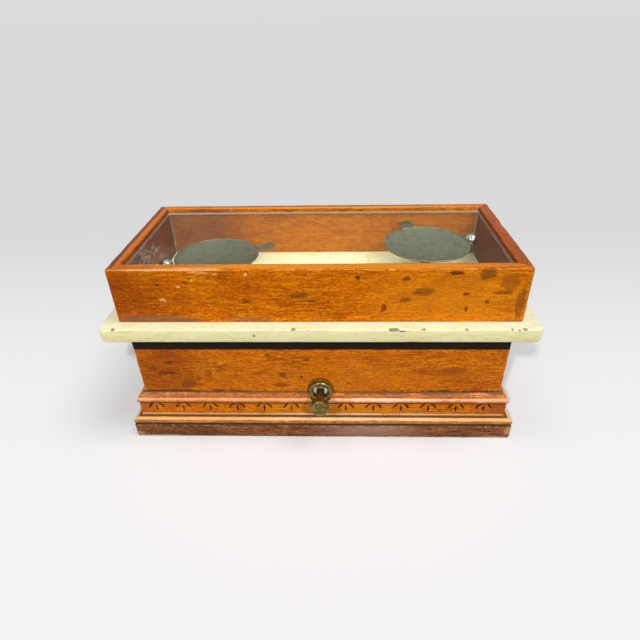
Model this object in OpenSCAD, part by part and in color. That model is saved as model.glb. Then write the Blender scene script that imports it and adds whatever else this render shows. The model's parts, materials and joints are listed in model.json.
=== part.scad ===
// Torsion prescription balance: two pans on a pair of beams that torsion bands carry,
// in a wooden case with a painted top plate and a glazed cover that lifts off.
// Millimetres, Z up, front towards -Y, origin under the middle of the base board.
// The beams are drawn as they rest, with the left pan down on its stop.

/* [Case] */
// Width of the case outside its walls
case_w = 311; // [300:1:330]
// Depth of the case outside its walls
case_d = 129; // [126:1:140]
// Thickness of the case walls
wall_t = 11; // [9:0.5:13]
// Height of the case walls above the base board
wall_h = 86.8; // [86:0.2:100]
// Thickness of the base board
base_t = 14.2; // [10:0.2:18]
// How far the base board stands out past the walls
base_reach = 12; // [11.5:0.5:16]
// Radius of the base board's worn arrises
base_round = 1.6; // [0.8:0.1:2.5]
// Side of the glue blocks in the corners of the case
block_side = 12; // [8:0.5:16]
// Height of the black dust strip under the top plate
strip_h = 6; // [3:0.5:8]
// Width of the black dust strip
strip_w = 9; // [6:0.5:11]

/* [Mouldings] */
// Height of the bead on the base board
bead_h = 6.3; // [5:0.1:8]
// How far the bead stands out past the walls
bead_reach = 11.4; // [10:0.1:11.5]
// Height of the carved frieze
frieze_h = 14.5; // [12:0.5:18]
// Thickness of the frieze
frieze_t = 5; // [4:0.2:6]
// Height of the crown moulding above the frieze
crown_h = 8.6; // [8:0.1:10]
// How far the crown moulding stands out past the walls
crown_reach = 6.4; // [6.2:0.1:8]
// Distance between the carved marks
mark_pitch = 24; // [20:0.5:28]
// How many carved marks the frieze has
mark_count = 13; // [7:2:13]
// How far the row of marks stands left of the middle
mark_shift = 2; // [0:0.5:4]
// Height of a carved mark
mark_h = 8; // [5:0.5:10]
// Depth of a carved mark
mark_cut = 0.7; // [0.3:0.1:1.2]

/* [Top plate] */
// How far the plate stands out past the walls
plate_over = 16; // [13:0.5:22]
// Thickness of the plate
plate_t = 11.8; // [9:0.2:15]
// Radius of the plate's corners
plate_corner = 7; // [4:0.5:12]
// Radius of the plate's softened edges
plate_edge = 2.4; // [1:0.2:4]
// Radius of the holes that the pan columns pass through
column_hole_r = 8; // [6:0.5:10]

/* [Cover] */
// How far the cover stands out past the side walls
cover_over_x = 3; // [0.5:0.5:9]
// How far the cover stands out past the front and back walls
cover_over_y = 5; // [3:0.5:10]
// Height of the cover
cover_h = 46; // [45.5:0.5:60]
// Thickness of the cover's boards
cover_t = 10; // [9:0.5:12]
// How deep the glass lies below the cover's top
glass_drop = 3.4; // [2.5:0.1:3.8]
// Thickness of the glass
glass_t = 2.4; // [2:0.1:3]
// Depth of the groove that holds the glass
groove_depth = 4; // [3:0.5:5]

/* [Beams] */
// Room from a pan's middle to the cover's end board
end_room = 57; // [54:0.5:60]
// Tilt of the beams at rest, with the left pan down
tilt = 3.25; // [2:0.25:3.5]
// Height of the lower bands above the base board
lower_rise = 23.8; // [23:0.2:26]
// Depth of the upper bands below the top plate
upper_drop = 27; // [26:0.5:30]
// Height of a beam at its middle
beam_mid_h = 10; // [8:0.5:11]
// Height of a beam near its ends
beam_end_h = 7; // [5:0.5:8]
// Thickness of a beam from front to back
beam_t = 10; // [8:0.5:12]
// Side of the square clamping heads of a beam
head_side = 11; // [9:0.5:12]

/* [Torsion bands] */
// Free span of a band between the bars of its frame
band_span = 30; // [26:0.5:32]
// Width of a band
band_w = 5; // [3:0.5:5.4]
// Thickness of a band
band_t = 0.4; // [0.3:0.1:0.6]
// Radius of the hub that grips a band at its middle
hub_r = 2.8; // [2.7:0.1:3.4]
// Thickness of a band frame's bars from front to back
bar_t = 6; // [4:0.5:8]
// Width of a band frame's bars
bar_w = 10; // [8:0.5:12]
// Thickness of a band clamp
clamp_t = 4; // [3:0.5:5]

/* [Pans] */
// Radius of a pan
pan_r = 36.7; // [34:0.1:39]
// Depth of a pan
pan_depth = 6.5; // [5:0.5:7.5]
// Thickness of a pan's metal
pan_t = 0.8; // [0.6:0.1:1.2]
// Height of a level pan's rim above the top plate
pan_rise = 30; // [28:0.5:30.5]
// How far the thumb tab reaches from the pan's middle
tab_reach = 52.5; // [48:0.5:54]
// Width of the thumb tab at its tip
tab_w = 13; // [10:0.5:16]
// Direction of the left pan's tab, from +X
left_tab_angle = 23.5; // [0:0.5:60]
// Direction of the right pan's tab, from +X
right_tab_angle = 106; // [80:0.5:130]
// Radius of the column that carries a pan
column_r = 3.5; // [2.5:0.5:4.5]
// Radius of the pin that centres a pan
pan_pin_r = 2.5; // [2:0.1:3]
// Distance of the domed button from the pan's middle
button_reach = 43.2; // [42.8:0.1:46]
// Radius of the domed button
button_r = 5.8; // [4.5:0.1:6]
// Direction of the right button from +X; the left one is turned half round
button_angle = 18; // [10:1:30]

/* [Arrest] */
// Height of the arrest shaft above the base board
shaft_rise = 33.1; // [32:0.1:35]
// Radius of the arrest shaft
shaft_r = 3.5; // [3:0.1:4]
// How far the knob's face stands in front of the case
knob_reach = 27.1; // [20:0.1:32]
// Radius of the knob
knob_r = 7.85; // [6:0.05:9]
// Thickness of the knob
knob_t = 5; // [3:0.5:7]
// Outer radius of the rosette
rosette_r = 11; // [10:0.1:12.5]
// Thickness of the rosette
rosette_t = 6; // [5:0.5:8]
// Outer radius of the shaft's bush
bush_r = 6; // [5.5:0.1:6.5]
// Travel of the lifter in a quarter turn
lift = 3; // [2:0.1:3.2]
// Distance of the lifter's pads from the middle
pad_x = 30; // [26:0.5:32]
// Distance of the guide posts from the middle
guide_x = 19; // [16:0.5:21]
// Radius of the guide posts
guide_r = 2.5; // [2:0.1:3]

/* [Index] */
// Height of the pointer's tip above the top plate
pointer_rise = 17; // [10:0.5:22]
// Distance of the pointer in front of the middle
pointer_y = 27; // [26:0.5:30]
// Width of the index scale
scale_w = 26; // [18:1:34]
// Height of the index scale
scale_h = 15; // [10:0.5:20]

/* [Fits] */
// Gap all round between a hub or pin and its bore
run_gap = 0.05; // [0.02:0.01:0.1]
// Gap between moving faces that pass close to each other
pass_gap = 0.3; // [0.25:0.05:0.5]
// Gap between mitred ends
mitre_gap = 0.1; // [0.05:0.05:0.2]

/* [Hidden] */
$fn = 64;

inner_w = case_w - 2 * wall_t;
inner_d = case_d - 2 * wall_t;
bead_z = base_t;
frieze_z = bead_z + bead_h;
crown_z = frieze_z + frieze_h;
wall_top = base_t + wall_h;
plate_z = wall_top + strip_h;
plate_top = plate_z + plate_t;
cover_top = plate_top + cover_h;
base_w = case_w + 2 * base_reach;
base_d = case_d + 2 * base_reach;
plate_w = case_w + 2 * plate_over;
plate_d = case_d + 2 * plate_over;
cover_w = case_w + 2 * cover_over_x;
cover_d = case_d + 2 * cover_over_y;
front_y = -case_d / 2;
base_corner = 3;
cover_edge = 1.2;
glass_slack = 0.4;
block_gap = 0.5;

// How far a cutter runs past the face that it leaves
cut = 1;

// Carved marks: width of a stroke, angle between strokes, and place below the crown
stroke_w = 0.9;
stroke_spread = 40;
mark_drop = 2.5;

// Crown: its round nose, and the step that slopes back above it
nose_r = 3.1;
nose_z = 2.3;
slope_x = 3;
slope_drop = 1.3;
slope_top = 1.2;

// Wood screws: radius of the shank and of the head, and the head's height
shank_r = 1.6;
head_r = 3.2;
head_h = 2;
screw_slot = 0.8;
thread_end = 1;

// Cleats that hold the top plate, and their screws
cleat_side = 10;
cleat_len = 240;
cleat_z = plate_z - cleat_side;
cleat_y = inner_d / 2 - cleat_side / 2;
cleat_screw_x = 90;
plate_bite = 6;
pointer_slot = [16, 5];

// Foot of the centre frame
bar_y = band_span / 2 + bar_t / 2;
foot_t = 5;
foot_w = 60;
foot_out = 6;
foot_d = band_span + 2 * (bar_t + foot_out);
foot_screw_in = [5, 4];
foot_screw_x = foot_w / 2 - foot_screw_in.x;
foot_screw_y = foot_d / 2 - foot_screw_in.y;
foot_half = 20;
foot_bite = 5;

// Bed of the balance on the base board, with a rib and two screws on each side of the foot
bed_clear = 7.5;
bed_edge = 8;
bed_t = 6;
bed_top = base_t + bed_t;
rib_w = 4;
rib_h = 2;
rib_gap = 2;
rib_y = foot_d / 2 + rib_gap + rib_w / 2;
bed_screw_in = 10;
bed_screw_gap = 0.8;
bed_screw_y = rib_y + rib_w / 2 + bed_screw_gap + head_r;
bed_w = inner_w - 2 * (block_side + bed_clear);
bed_d = 2 * (bed_screw_y + bed_edge);
bed_screw_x = bed_w / 2 - bed_screw_in;
board_bite = 7;

// Band axes, the distance from the middle bands to an end band, and the ends at rest
lower_z = base_t + lower_rise;
upper_z = plate_z - upper_drop;
arm = cover_w / 2 - cover_t - end_room;
function end_x(s) = s * arm * cos(tilt);
function end_dz(s) = s * arm * sin(tilt);

// Frames that stretch the bands, and the clamps on them
frame_above = 8;
frame_below = 6;
cross_top = 5;
cross_foot = 4;
band_len = band_span + 2 * bar_t + 2 * clamp_t;
slot_gap = 0.05;
clamp_y = bar_y + bar_t / 2 + clamp_t / 2;
clamp_h = 7;
clamp_screw_r = 1.6;
clamp_screw_h = 1.5;

// Pans, seen from the plane of the rim
pan_sphere = (pan_r * pan_r + pan_depth * pan_depth) / (2 * pan_depth);
function pan_under(r) = pan_sphere - pan_depth - sqrt(pow(pan_sphere + pan_t, 2) - r * r);
boss_r = 6;
boss_h = 4.5;
boss_under = pan_under(0) - boss_h;
bead_r = 0.7;
bead_drop = 0.3;
tab_t = 0.9;
tab_lap = 0.8;
tab_taper = 1.5;
tip_r = 2;
pin_h = 3.5;
socket_h = pin_h + pass_gap;
spider_t = 3;
spider_r = 9;
arm_w = 5;
rest_reach = 26;
rest_r = 1.5;
button_sink = 3.5;
stem_r = 2;
dome_skirt = 2;
level_rim = plate_top + pan_rise;
spider_z = level_rim + boss_under - spider_t;
frame_top = upper_z + frame_above + cross_top;
column_foot = 2;

// Rosette and knob: the gap round the bush, the rosette's thin lip, the ring on the knob's face
rosette_gap = 0.2;
lip_w = 1;
lip_t = 2;
knob_face = front_y - knob_reach;
knob_step = 0.8;
knob_nose = 1;
ring_w = 2;
ring_h = 0.5;
shaft_stop = 2;

// Arrest: the collar behind the wall, the cam behind the collar, the lifter over the cam
shaft_z = base_t + shaft_rise;
collar_t = 4;
collar_wall = 3;
collar_y = front_y + wall_t + pass_gap;
cam_low = 8;
cam_rate = lift / 90;
cam_t = 6;
cam_gap = 6.2;
cam_spare = 20;
cam_relief = 1;
cam_y = collar_y + collar_t + cam_gap + cam_t;
cam_crown = pow(cam_rate * 180 / PI, 2) / (2 * cam_low);
beam_low = upper_z - pad_x * sin(tilt) - beam_mid_h / 2;
pad_t = 2;
pad_top = beam_low - lift - 2 * pass_gap;
lifter_t = 4;
lifter_y = cam_y - lifter_t;
lifter_z = shaft_z + cam_low + cam_crown + pass_gap;
lifter_top = pad_top - pad_t;
lifter_h = lifter_top - lifter_z;
lifter_arm = 6;
guide_wall = 3;
guide_bite = 4;
guide_spare = 8;
guide_y = cam_y - lifter_t / 2;
guide_top = lifter_top + lift + guide_spare;

// Stops under the lower beam
stop_x = 60;
stop_r = 3;
stop_flange = 3;
stop_top = lower_z - (stop_x + stop_r) * sin(tilt) - beam_mid_h / 2 - pass_gap;

// Index: the scale stands just behind the pointer's needle, on a bracket
pointer_r = 0.6;
index_gap = 2.6;
scale_t = 0.8;
scale_y = -pointer_y + pointer_r + index_gap;
scale_lift = 4;
bracket_t = 1.5;
bracket_d = 8;
bracket_y = scale_y + scale_t;
index_screw_x = 9;
index_screw_in = 2.5;
index_screw_r = 1.8;
index_screw_h = 1;

// Yoke that carries the pointer over the centre frame, and the poise on it
yoke_gap = 3;
yoke_z = frame_above + yoke_gap;
yoke_t = 3;
yoke_post = 6;
yoke_arm = 4;
pointer_tip = plate_top + pointer_rise - upper_z;
poise_post_r = 1.5;
poise_post_h = 8;
poise_r = 6;
poise_t = 4;
poise_up = 2;

// Balance nuts on their rods
rod_r = 1.5;
rod_len = 17;
nut_r = 4;
nut_t = 4;
left_nut_out = 9;
right_nut_out = 5;

wood = [0.74, 0.36, 0.10];
dark_wood = [0.36, 0.19, 0.10];
brass = [0.60, 0.50, 0.22];
iron = [0.20, 0.21, 0.22];
steel = [0.66, 0.67, 0.69];
nickel = [0.50, 0.52, 0.46];

// Flat rectangle with round corners
module rounded_rect(w, d, r) {
    square([w - 2 * r, d], center = true);
    square([w, d - 2 * r], center = true);
    for (x = [-1, 1], y = [-1, 1])
        translate([x * (w / 2 - r), y * (d / 2 - r)])
            circle(r);
}

// Slab with round corners and softened edges, standing on z = 0
module soft_slab(w, d, h, corner, edge) {
    intersection() {
        translate([0, 0, h / 2])
            rotate([90, 0, 90])
                linear_extrude(w, center = true)
                    rounded_rect(d, h, edge);
        translate([0, 0, h / 2])
            rotate([90, 0, 0])
                linear_extrude(d, center = true)
                    rounded_rect(w, h, edge);
        linear_extrude(h)
            rounded_rect(w, d, corner);
    }
}

// One mitred length along the front of a w by d rectangle.
// The child is its section: x outwards from the rectangle, y up.
module mitred_front(w, d, reach, inset, h) {
    intersection() {
        translate([0, -d / 2, 0])
            rotate([90, 0, -90])
                linear_extrude(w + 2 * reach, center = true)
                    children();
        translate([0, 0, -cut])
            linear_extrude(h + 2 * cut)
                polygon([
                    [-w / 2 - reach + mitre_gap, -d / 2 - reach],
                    [w / 2 + reach - mitre_gap, -d / 2 - reach],
                    [w / 2 - inset - mitre_gap, -d / 2 + inset],
                    [-w / 2 + inset + mitre_gap, -d / 2 + inset]
                ]);
    }
}

// The same length on side k of the rectangle: 0 front, 1 right, 2 back, 3 left
module mitred_side(k, w, d, reach, inset, h) {
    rotate([0, 0, 90 * k])
        mitred_front(k % 2 == 0 ? w : d, k % 2 == 0 ? d : w, reach, inset, h)
            children();
}

module rod_y(r, y0, y1) {
    translate([0, y0, 0])
        rotate([-90, 0, 0])
            cylinder(r = r, h = y1 - y0);
}

module base_board() {
    color(dark_wood)
        difference() {
            soft_slab(base_w, base_d, base_t, base_corner, base_round);
            for (x = [-1, 1], y = [-1, 1])
                translate([x * bed_screw_x, y * bed_screw_y, base_t - board_bite])
                    cylinder(r = shank_r, h = board_bite + cut);
        }
}

module bead_section() {
    square([bead_reach - bead_h / 2, bead_h]);
    translate([bead_reach - bead_h / 2, bead_h / 2])
        circle(bead_h / 2);
}

module bead_moulding() {
    color(wood)
        translate([0, 0, bead_z])
            for (k = [0:3])
                mitred_side(k, case_w, case_d, bead_reach, 0, bead_h)
                    bead_section();
}

module frieze(k) {
    translate([0, 0, frieze_z])
        mitred_side(k, case_w, case_d, frieze_t, 0, frieze_h)
            square([frieze_t, frieze_h]);
}

// Three strokes that spread downwards from one point, cut into the front
module crow_mark() {
    for (s = [-1, 0, 1])
        rotate([0, s * stroke_spread, 0])
            translate([-stroke_w / 2, -mark_cut, -mark_h])
                cube([stroke_w, 2 * mark_cut, mark_h]);
}

module front_frieze() {
    color(wood)
        difference() {
            frieze(0);
            for (i = [0:mark_count - 1])
                translate([
                    (i - (mark_count - 1) / 2) * mark_pitch - mark_shift,
                    front_y - frieze_t,
                    crown_z - mark_drop
                ])
                    crow_mark();
        }
}

module back_frieze() {
    color(wood) frieze(2);
}

module left_frieze() {
    color(wood) frieze(3);
}

module right_frieze() {
    color(wood) frieze(1);
}

// Round nose below, then a small step that slopes back to the wall
module crown_section() {
    nose_x = crown_reach - nose_r;
    intersection() {
        translate([nose_x, nose_z])
            circle(nose_r);
        square([crown_reach, crown_h]);
    }
    polygon([
        [0, 0], [nose_x, 0], [nose_x, nose_z + nose_r], [slope_x, crown_h - slope_drop],
        [slope_top, crown_h], [0, crown_h]
    ]);
}

module crown_moulding() {
    color(wood)
        difference() {
            translate([0, 0, crown_z])
                for (k = [0:3])
                    mitred_side(k, case_w, case_d, crown_reach, 0, crown_h)
                        crown_section();
            translate([0, 0, shaft_z])
                rod_y(rosette_r + pass_gap, front_y - crown_reach - cut, front_y + cut);
        }
}

module front_wall() {
    color(wood)
        difference() {
            translate([-case_w / 2, front_y, base_t])
                cube([case_w, wall_t, wall_h]);
            translate([0, 0, shaft_z])
                rod_y(bush_r, front_y - cut, front_y + wall_t + cut);
        }
}

module back_wall() {
    color(wood)
        translate([-case_w / 2, case_d / 2 - wall_t, base_t])
            cube([case_w, wall_t, wall_h]);
}

module side_wall(s) {
    translate([s * (case_w / 2 - wall_t / 2), 0, base_t + wall_h / 2])
        cube([wall_t, inner_d, wall_h], center = true);
}

module left_wall() {
    color(wood) side_wall(-1);
}

module right_wall() {
    color(wood) side_wall(1);
}

module corner_blocks() {
    color(dark_wood)
        for (x = [-1, 1], y = [-1, 1])
            translate([
                x * (inner_w - block_side) / 2,
                y * (inner_d - block_side) / 2,
                (base_t + cleat_z) / 2
            ])
                cube([block_side, block_side, cleat_z - base_t - 2 * block_gap], center = true);
}

module dust_strip() {
    color([0.12, 0.07, 0.04])
        translate([0, 0, wall_top])
            for (k = [0:3])
                mitred_side(k, case_w, case_d, 0, strip_w, strip_h)
                    translate([-strip_w, 0])
                        square([strip_w, strip_h]);
}

module plate_cleats() {
    color(dark_wood)
        for (y = [-1, 1])
            difference() {
                translate([0, y * cleat_y, plate_z - cleat_side / 2])
                    cube([cleat_len, cleat_side, cleat_side], center = true);
                for (x = [-1, 1])
                    translate([x * cleat_screw_x, y * cleat_y, cleat_z - cut])
                        cylinder(r = shank_r, h = cleat_side + 2 * cut);
            }
}

// Round-headed screw, head on z = 0 and shank below it
module screw(bite) {
    translate([0, 0, -bite])
        cylinder(r = shank_r, h = bite + head_h / 2);
    difference() {
        cylinder(r = head_r, h = head_h);
        translate([-head_r, -screw_slot / 2, head_h - screw_slot])
            cube([2 * head_r, screw_slot, screw_slot + cut]);
    }
}

module plate_screws() {
    color(steel)
        for (x = [-1, 1], y = [-1, 1])
            translate([x * cleat_screw_x, y * cleat_y, cleat_z])
                rotate([180, 0, 0])
                    screw(cleat_side + plate_bite);
}

module top_plate() {
    color([0.93, 0.88, 0.70])
        difference() {
            translate([0, 0, plate_z])
                soft_slab(plate_w, plate_d, plate_t, plate_corner, plate_edge);
            for (s = [-1, 1])
                translate([end_x(s), 0, plate_z - cut])
                    cylinder(r = column_hole_r, h = plate_t + 2 * cut);
            translate([0, -pointer_y, plate_z - cut])
                linear_extrude(plate_t + 2 * cut)
                    square(pointer_slot, center = true);
            for (x = [-1, 1], y = [-1, 1])
                translate([x * cleat_screw_x, y * cleat_y, plate_z - cut])
                    cylinder(r = shank_r, h = plate_bite + cut);
        }
}

// Domed ring with a round bore
module rosette() {
    bore = bush_r + rosette_gap;
    dome = (rosette_r - bore) / 2;
    color(brass)
        translate([0, front_y, shaft_z])
            rotate([90, 0, 0])
                rotate_extrude()
                    union() {
                        translate([bore, 0])
                            square([2 * dome, rosette_t - dome]);
                        translate([bore + dome, rosette_t - dome])
                            circle(dome);
                        translate([rosette_r - lip_w, 0])
                            square([lip_w, lip_t]);
                    }
}

module shaft_bush() {
    color(steel)
        translate([0, 0, shaft_z])
            difference() {
                rod_y(bush_r, front_y - rosette_t / 2, front_y + wall_t);
                rod_y(shaft_r + run_gap, front_y - rosette_t, front_y + wall_t + cut);
            }
}

module bed_casting() {
    color(iron)
        difference() {
            union() {
                translate([0, 0, base_t + bed_t / 2])
                    cube([bed_w, bed_d, bed_t], center = true);
                for (y = [-1, 1])
                    translate([0, y * rib_y, base_t + (bed_t + rib_h) / 2])
                        cube([bed_w - 2 * rib_h, rib_w, bed_t + rib_h], center = true);
            }
            for (x = [-1, 1], y = [-1, 1]) {
                translate([x * bed_screw_x, y * bed_screw_y, base_t - cut])
                    cylinder(r = shank_r, h = bed_t + 2 * cut);
                translate([x * foot_screw_x, y * foot_screw_y, bed_top - foot_bite])
                    cylinder(r = shank_r, h = foot_bite + cut);
            }
            for (s = [-1, 1])
                translate([s * guide_x, guide_y, bed_top - guide_bite])
                    cylinder(r = guide_r, h = guide_bite + rib_h + cut);
        }
}

module bed_screws() {
    color(steel)
        for (x = [-1, 1], y = [-1, 1])
            translate([x * bed_screw_x, y * bed_screw_y, bed_top])
                screw(bed_t + board_bite - thread_end);
}

// Slot that a band passes through
module band_slot(len) {
    cube([band_w + 2 * slot_gap, len, band_t + 2 * slot_gap], center = true);
}

module centre_frame() {
    h = frame_above + upper_z - bed_top - foot_t;
    color(brass)
        difference() {
            union() {
                translate([0, 0, bed_top + foot_t / 2])
                    cube([foot_w, foot_d, foot_t], center = true);
                for (y = [-1, 1])
                    translate([0, y * bar_y, bed_top + foot_t])
                        rotate([90, 0, 0])
                            linear_extrude(bar_t, center = true)
                                polygon([
                                    [-foot_half, 0], [foot_half, 0],
                                    [0.6 * bar_w, h / 2], [bar_w / 2, h],
                                    [-bar_w / 2, h], [-0.6 * bar_w, h / 2]
                                ]);
            }
            for (z = [lower_z, upper_z])
                translate([0, 0, z])
                    band_slot(band_len + 2 * cut);
            for (x = [-1, 1], y = [-1, 1])
                translate([x * foot_screw_x, y * foot_screw_y, bed_top - cut])
                    cylinder(r = shank_r, h = foot_t + 2 * cut);
        }
}

module frame_screws() {
    color(steel)
        for (x = [-1, 1], y = [-1, 1])
            translate([x * foot_screw_x, y * foot_screw_y, bed_top + foot_t])
                screw(foot_t + foot_bite - thread_end);
}

// A band stretched from front to back, with the hub that a beam turns on
module band() {
    cube([band_w, band_len, band_t], center = true);
    rod_y(hub_r, -beam_t / 2, beam_t / 2);
}

// The clamps at the two ends of a band
module clamp_pair() {
    for (y = [-1, 1])
        difference() {
            union() {
                translate([0, y * clamp_y, 0])
                    cube([0.9 * bar_w, clamp_t, clamp_h], center = true);
                translate([0, y * clamp_y, clamp_h / 2])
                    cylinder(r = clamp_screw_r, h = clamp_screw_h);
            }
            band_slot(band_len + 2 * cut);
        }
}

module centre_bands() {
    color(steel)
        for (z = [lower_z, upper_z])
            translate([0, 0, z])
                band();
}

module centre_clamps() {
    color(brass)
        for (z = [lower_z, upper_z])
            translate([0, 0, z])
                clamp_pair();
}

module guide_posts() {
    color(steel)
        for (s = [-1, 1])
            translate([s * guide_x, guide_y, bed_top - guide_bite])
                cylinder(r = guide_r, h = guide_top - bed_top + guide_bite);
}

module beam_stops() {
    color(brass)
        for (s = [-1, 1])
            translate([s * stop_x, 0, bed_top]) {
                cylinder(r = stop_r, h = stop_top - bed_top);
                cylinder(r = stop_r + stop_flange, h = stop_flange);
            }
}

module index_bracket() {
    color(brass)
        translate([0, bracket_y, plate_top]) {
            translate([-scale_w / 2, 0, 0])
                cube([scale_w, bracket_d, bracket_t]);
            translate([-scale_w / 2, 0, 0])
                cube([scale_w, bracket_t, scale_lift + scale_h]);
            for (s = [-1, 1])
                translate([s * index_screw_x, bracket_d - index_screw_in, bracket_t])
                    cylinder(r = index_screw_r, h = index_screw_h);
        }
}

module index_scale() {
    color([0.93, 0.90, 0.78])
        translate([-scale_w / 2, scale_y, plate_top + scale_lift])
            cube([scale_w, scale_t, scale_h]);
}

// Tapered bar with a square head, bored to fit over the hub, at each band
module beam(z_from) {
    translate([0, 0, z_from])
        rotate([0, -tilt, 0])
            difference() {
                union() {
                    rotate([90, 0, 0])
                        linear_extrude(0.8 * beam_t, center = true)
                            polygon([
                                [-arm, -beam_end_h / 2], [0, -beam_mid_h / 2],
                                [arm, -beam_end_h / 2], [arm, beam_end_h / 2],
                                [0, beam_mid_h / 2], [-arm, beam_end_h / 2]
                            ]);
                    for (x = [-arm, 0, arm])
                        translate([x, 0, 0])
                            cube([head_side, beam_t, head_side], center = true);
                }
                for (x = [-arm, 0, arm])
                    translate([x, 0, 0])
                        rod_y(hub_r + run_gap, -beam_t, beam_t);
            }
}

module upper_beam() {
    color(iron) beam(upper_z);
}

module lower_beam() {
    color(iron) beam(lower_z);
}

// Yoke over the centre frame, with the needle that stands up through the plate
module pointer() {
    half = head_side / 2;
    color(brass)
        translate([0, 0, upper_z])
            rotate([0, -tilt, 0]) {
                translate([-yoke_post / 2, -yoke_post / 2, half])
                    cube([yoke_post, yoke_post, yoke_z + yoke_t - half]);
                translate([-yoke_arm / 2, -pointer_y - yoke_arm / 2, yoke_z])
                    cube([yoke_arm, pointer_y, yoke_t]);
                translate([0, -pointer_y, yoke_z])
                    cylinder(r = pointer_r, h = pointer_tip - yoke_z);
            }
}

// Sensitivity poise: a nut on a short post above the yoke
module poise() {
    color(brass)
        translate([0, 0, upper_z])
            rotate([0, -tilt, 0])
                translate([0, 0, yoke_z + yoke_t]) {
                    cylinder(r = poise_post_r, h = poise_post_h);
                    translate([0, 0, poise_up])
                        cylinder(r = poise_r, h = poise_t);
                }
}

module balance_rods() {
    color(steel)
        translate([0, 0, upper_z])
            rotate([0, -tilt, 0])
                for (s = [-1, 1])
                    translate([s * (arm + head_side / 2), 0, 0])
                        rotate([0, s * 90, 0])
                            cylinder(r = rod_r, h = rod_len);
}

module balance_nuts() {
    color(brass)
        translate([0, 0, upper_z])
            rotate([0, -tilt, 0])
                for (s = [-1, 1])
                    translate([
                        s * (arm + head_side / 2 + (s < 0 ? left_nut_out : right_nut_out)),
                        0,
                        0
                    ])
                        rotate([0, s * 90, 0])
                            difference() {
                                cylinder(r = nut_r, h = nut_t);
                                translate([0, 0, -cut])
                                    cylinder(r = rod_r, h = nut_t + 2 * cut);
                            }
}

// Everything on one end of the beams moves up or down with it
module at_end(s) {
    translate([end_x(s), 0, end_dz(s)])
        children();
}

module end_frame() {
    low = lower_z - frame_below - cross_foot;
    difference() {
        union() {
            for (y = [-1, 1])
                translate([-bar_w / 2, y * bar_y - bar_t / 2, low])
                    cube([bar_w, bar_t, frame_top - low]);
            translate([-bar_w / 2, -bar_y, frame_top - cross_top])
                cube([bar_w, 2 * bar_y, cross_top]);
            translate([-bar_w / 2, -bar_y, low])
                cube([bar_w, 2 * bar_y, cross_foot]);
        }
        for (z = [lower_z, upper_z])
            translate([0, 0, z])
                band_slot(band_len + 2 * cut);
    }
}

module left_frame() {
    color(brass) at_end(-1) end_frame();
}

module right_frame() {
    color(brass) at_end(1) end_frame();
}

module end_bands() {
    for (z = [lower_z, upper_z])
        translate([0, 0, z])
            band();
}

module left_bands() {
    color(steel) at_end(-1) end_bands();
}

module right_bands() {
    color(steel) at_end(1) end_bands();
}

module end_clamps() {
    for (z = [lower_z, upper_z])
        translate([0, 0, z])
            clamp_pair();
}

module left_clamps() {
    color(brass) at_end(-1) end_clamps();
}

module right_clamps() {
    color(brass) at_end(1) end_clamps();
}

module column() {
    translate([0, 0, frame_top])
        cylinder(r = column_r, h = spider_z - frame_top);
    translate([0, 0, frame_top])
        cylinder(r = column_r + column_foot, h = column_foot);
}

module left_column() {
    color(brass) at_end(-1) column();
}

module right_column() {
    color(brass) at_end(1) column();
}

// Three arms under the pan; the first is longer and carries the button
module spider() {
    translate([0, 0, spider_z]) {
        cylinder(r = spider_r, h = spider_t);
        cylinder(r = pan_pin_r, h = spider_t + pin_h);
        for (i = [0:2])
            rotate([0, 0, button_angle + 120 * i]) {
                len = i == 0 ? button_reach : rest_reach;
                translate([0, -arm_w / 2, 0])
                    cube([len, arm_w, spider_t]);
                translate([len, 0, 0])
                    cylinder(r = arm_w / 2, h = spider_t);
                translate([rest_reach, 0, 0])
                    cylinder(r = rest_r, h = level_rim + pan_under(rest_reach - rest_r)
                        - pass_gap - spider_z);
            }
    }
}

module left_spider() {
    color(nickel) at_end(-1) rotate([0, 0, 180]) spider();
}

module right_spider() {
    color(nickel) at_end(1) spider();
}

// Domed button on a stem at the end of the long arm
module button() {
    dome_z = level_rim - button_sink;
    stem_z = spider_z + spider_t;
    rotate([0, 0, button_angle])
        translate([button_reach, 0, 0]) {
            translate([0, 0, stem_z])
                cylinder(r = stem_r, h = dome_z - stem_z);
            intersection() {
                translate([0, 0, dome_z])
                    sphere(button_r);
                translate([0, 0, dome_z - dome_skirt])
                    cylinder(r = button_r + cut, h = dome_skirt + button_r + cut);
            }
        }
}

module left_button() {
    color(steel) at_end(-1) rotate([0, 0, 180]) button();
}

module right_button() {
    color(steel) at_end(1) button();
}

// Shallow dish with a rolled rim, a thumb tab and a socket for the spider's pin
module pan(tab_angle) {
    root_half = tab_w / 2 - tab_taper;
    translate([0, 0, level_rim])
        difference() {
            union() {
                rotate_extrude()
                    intersection() {
                        difference() {
                            translate([0, pan_sphere - pan_depth])
                                circle(pan_sphere + pan_t, $fn = 200);
                            translate([0, pan_sphere - pan_depth])
                                circle(pan_sphere, $fn = 200);
                        }
                        translate([0, -pan_depth - 2 * pan_t])
                            square([pan_r, pan_depth + 2 * pan_t]);
                    }
                rotate_extrude()
                    translate([pan_r - bead_r, -bead_drop])
                        circle(bead_r);
                translate([0, 0, boss_under])
                    cylinder(r = boss_r, h = boss_h + pan_t / 2);
                rotate([0, 0, tab_angle])
                    translate([0, 0, -tab_t])
                        linear_extrude(tab_t) {
                            polygon([
                                [pan_r - tab_lap, -root_half], [tab_reach - tip_r, -tab_w / 2],
                                [tab_reach - tip_r, tab_w / 2], [pan_r - tab_lap, root_half]
                            ]);
                            translate([tab_reach - tip_r, 0])
                                square([2 * tip_r, tab_w - 2 * tip_r], center = true);
                            for (s = [-1, 1])
                                translate([tab_reach - tip_r, s * (tab_w / 2 - tip_r)])
                                    circle(tip_r);
                        }
            }
            translate([0, 0, boss_under - cut])
                cylinder(r = pan_pin_r + run_gap, h = socket_h + cut);
        }
}

module left_pan() {
    color(nickel) at_end(-1) pan(left_tab_angle);
}

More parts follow.
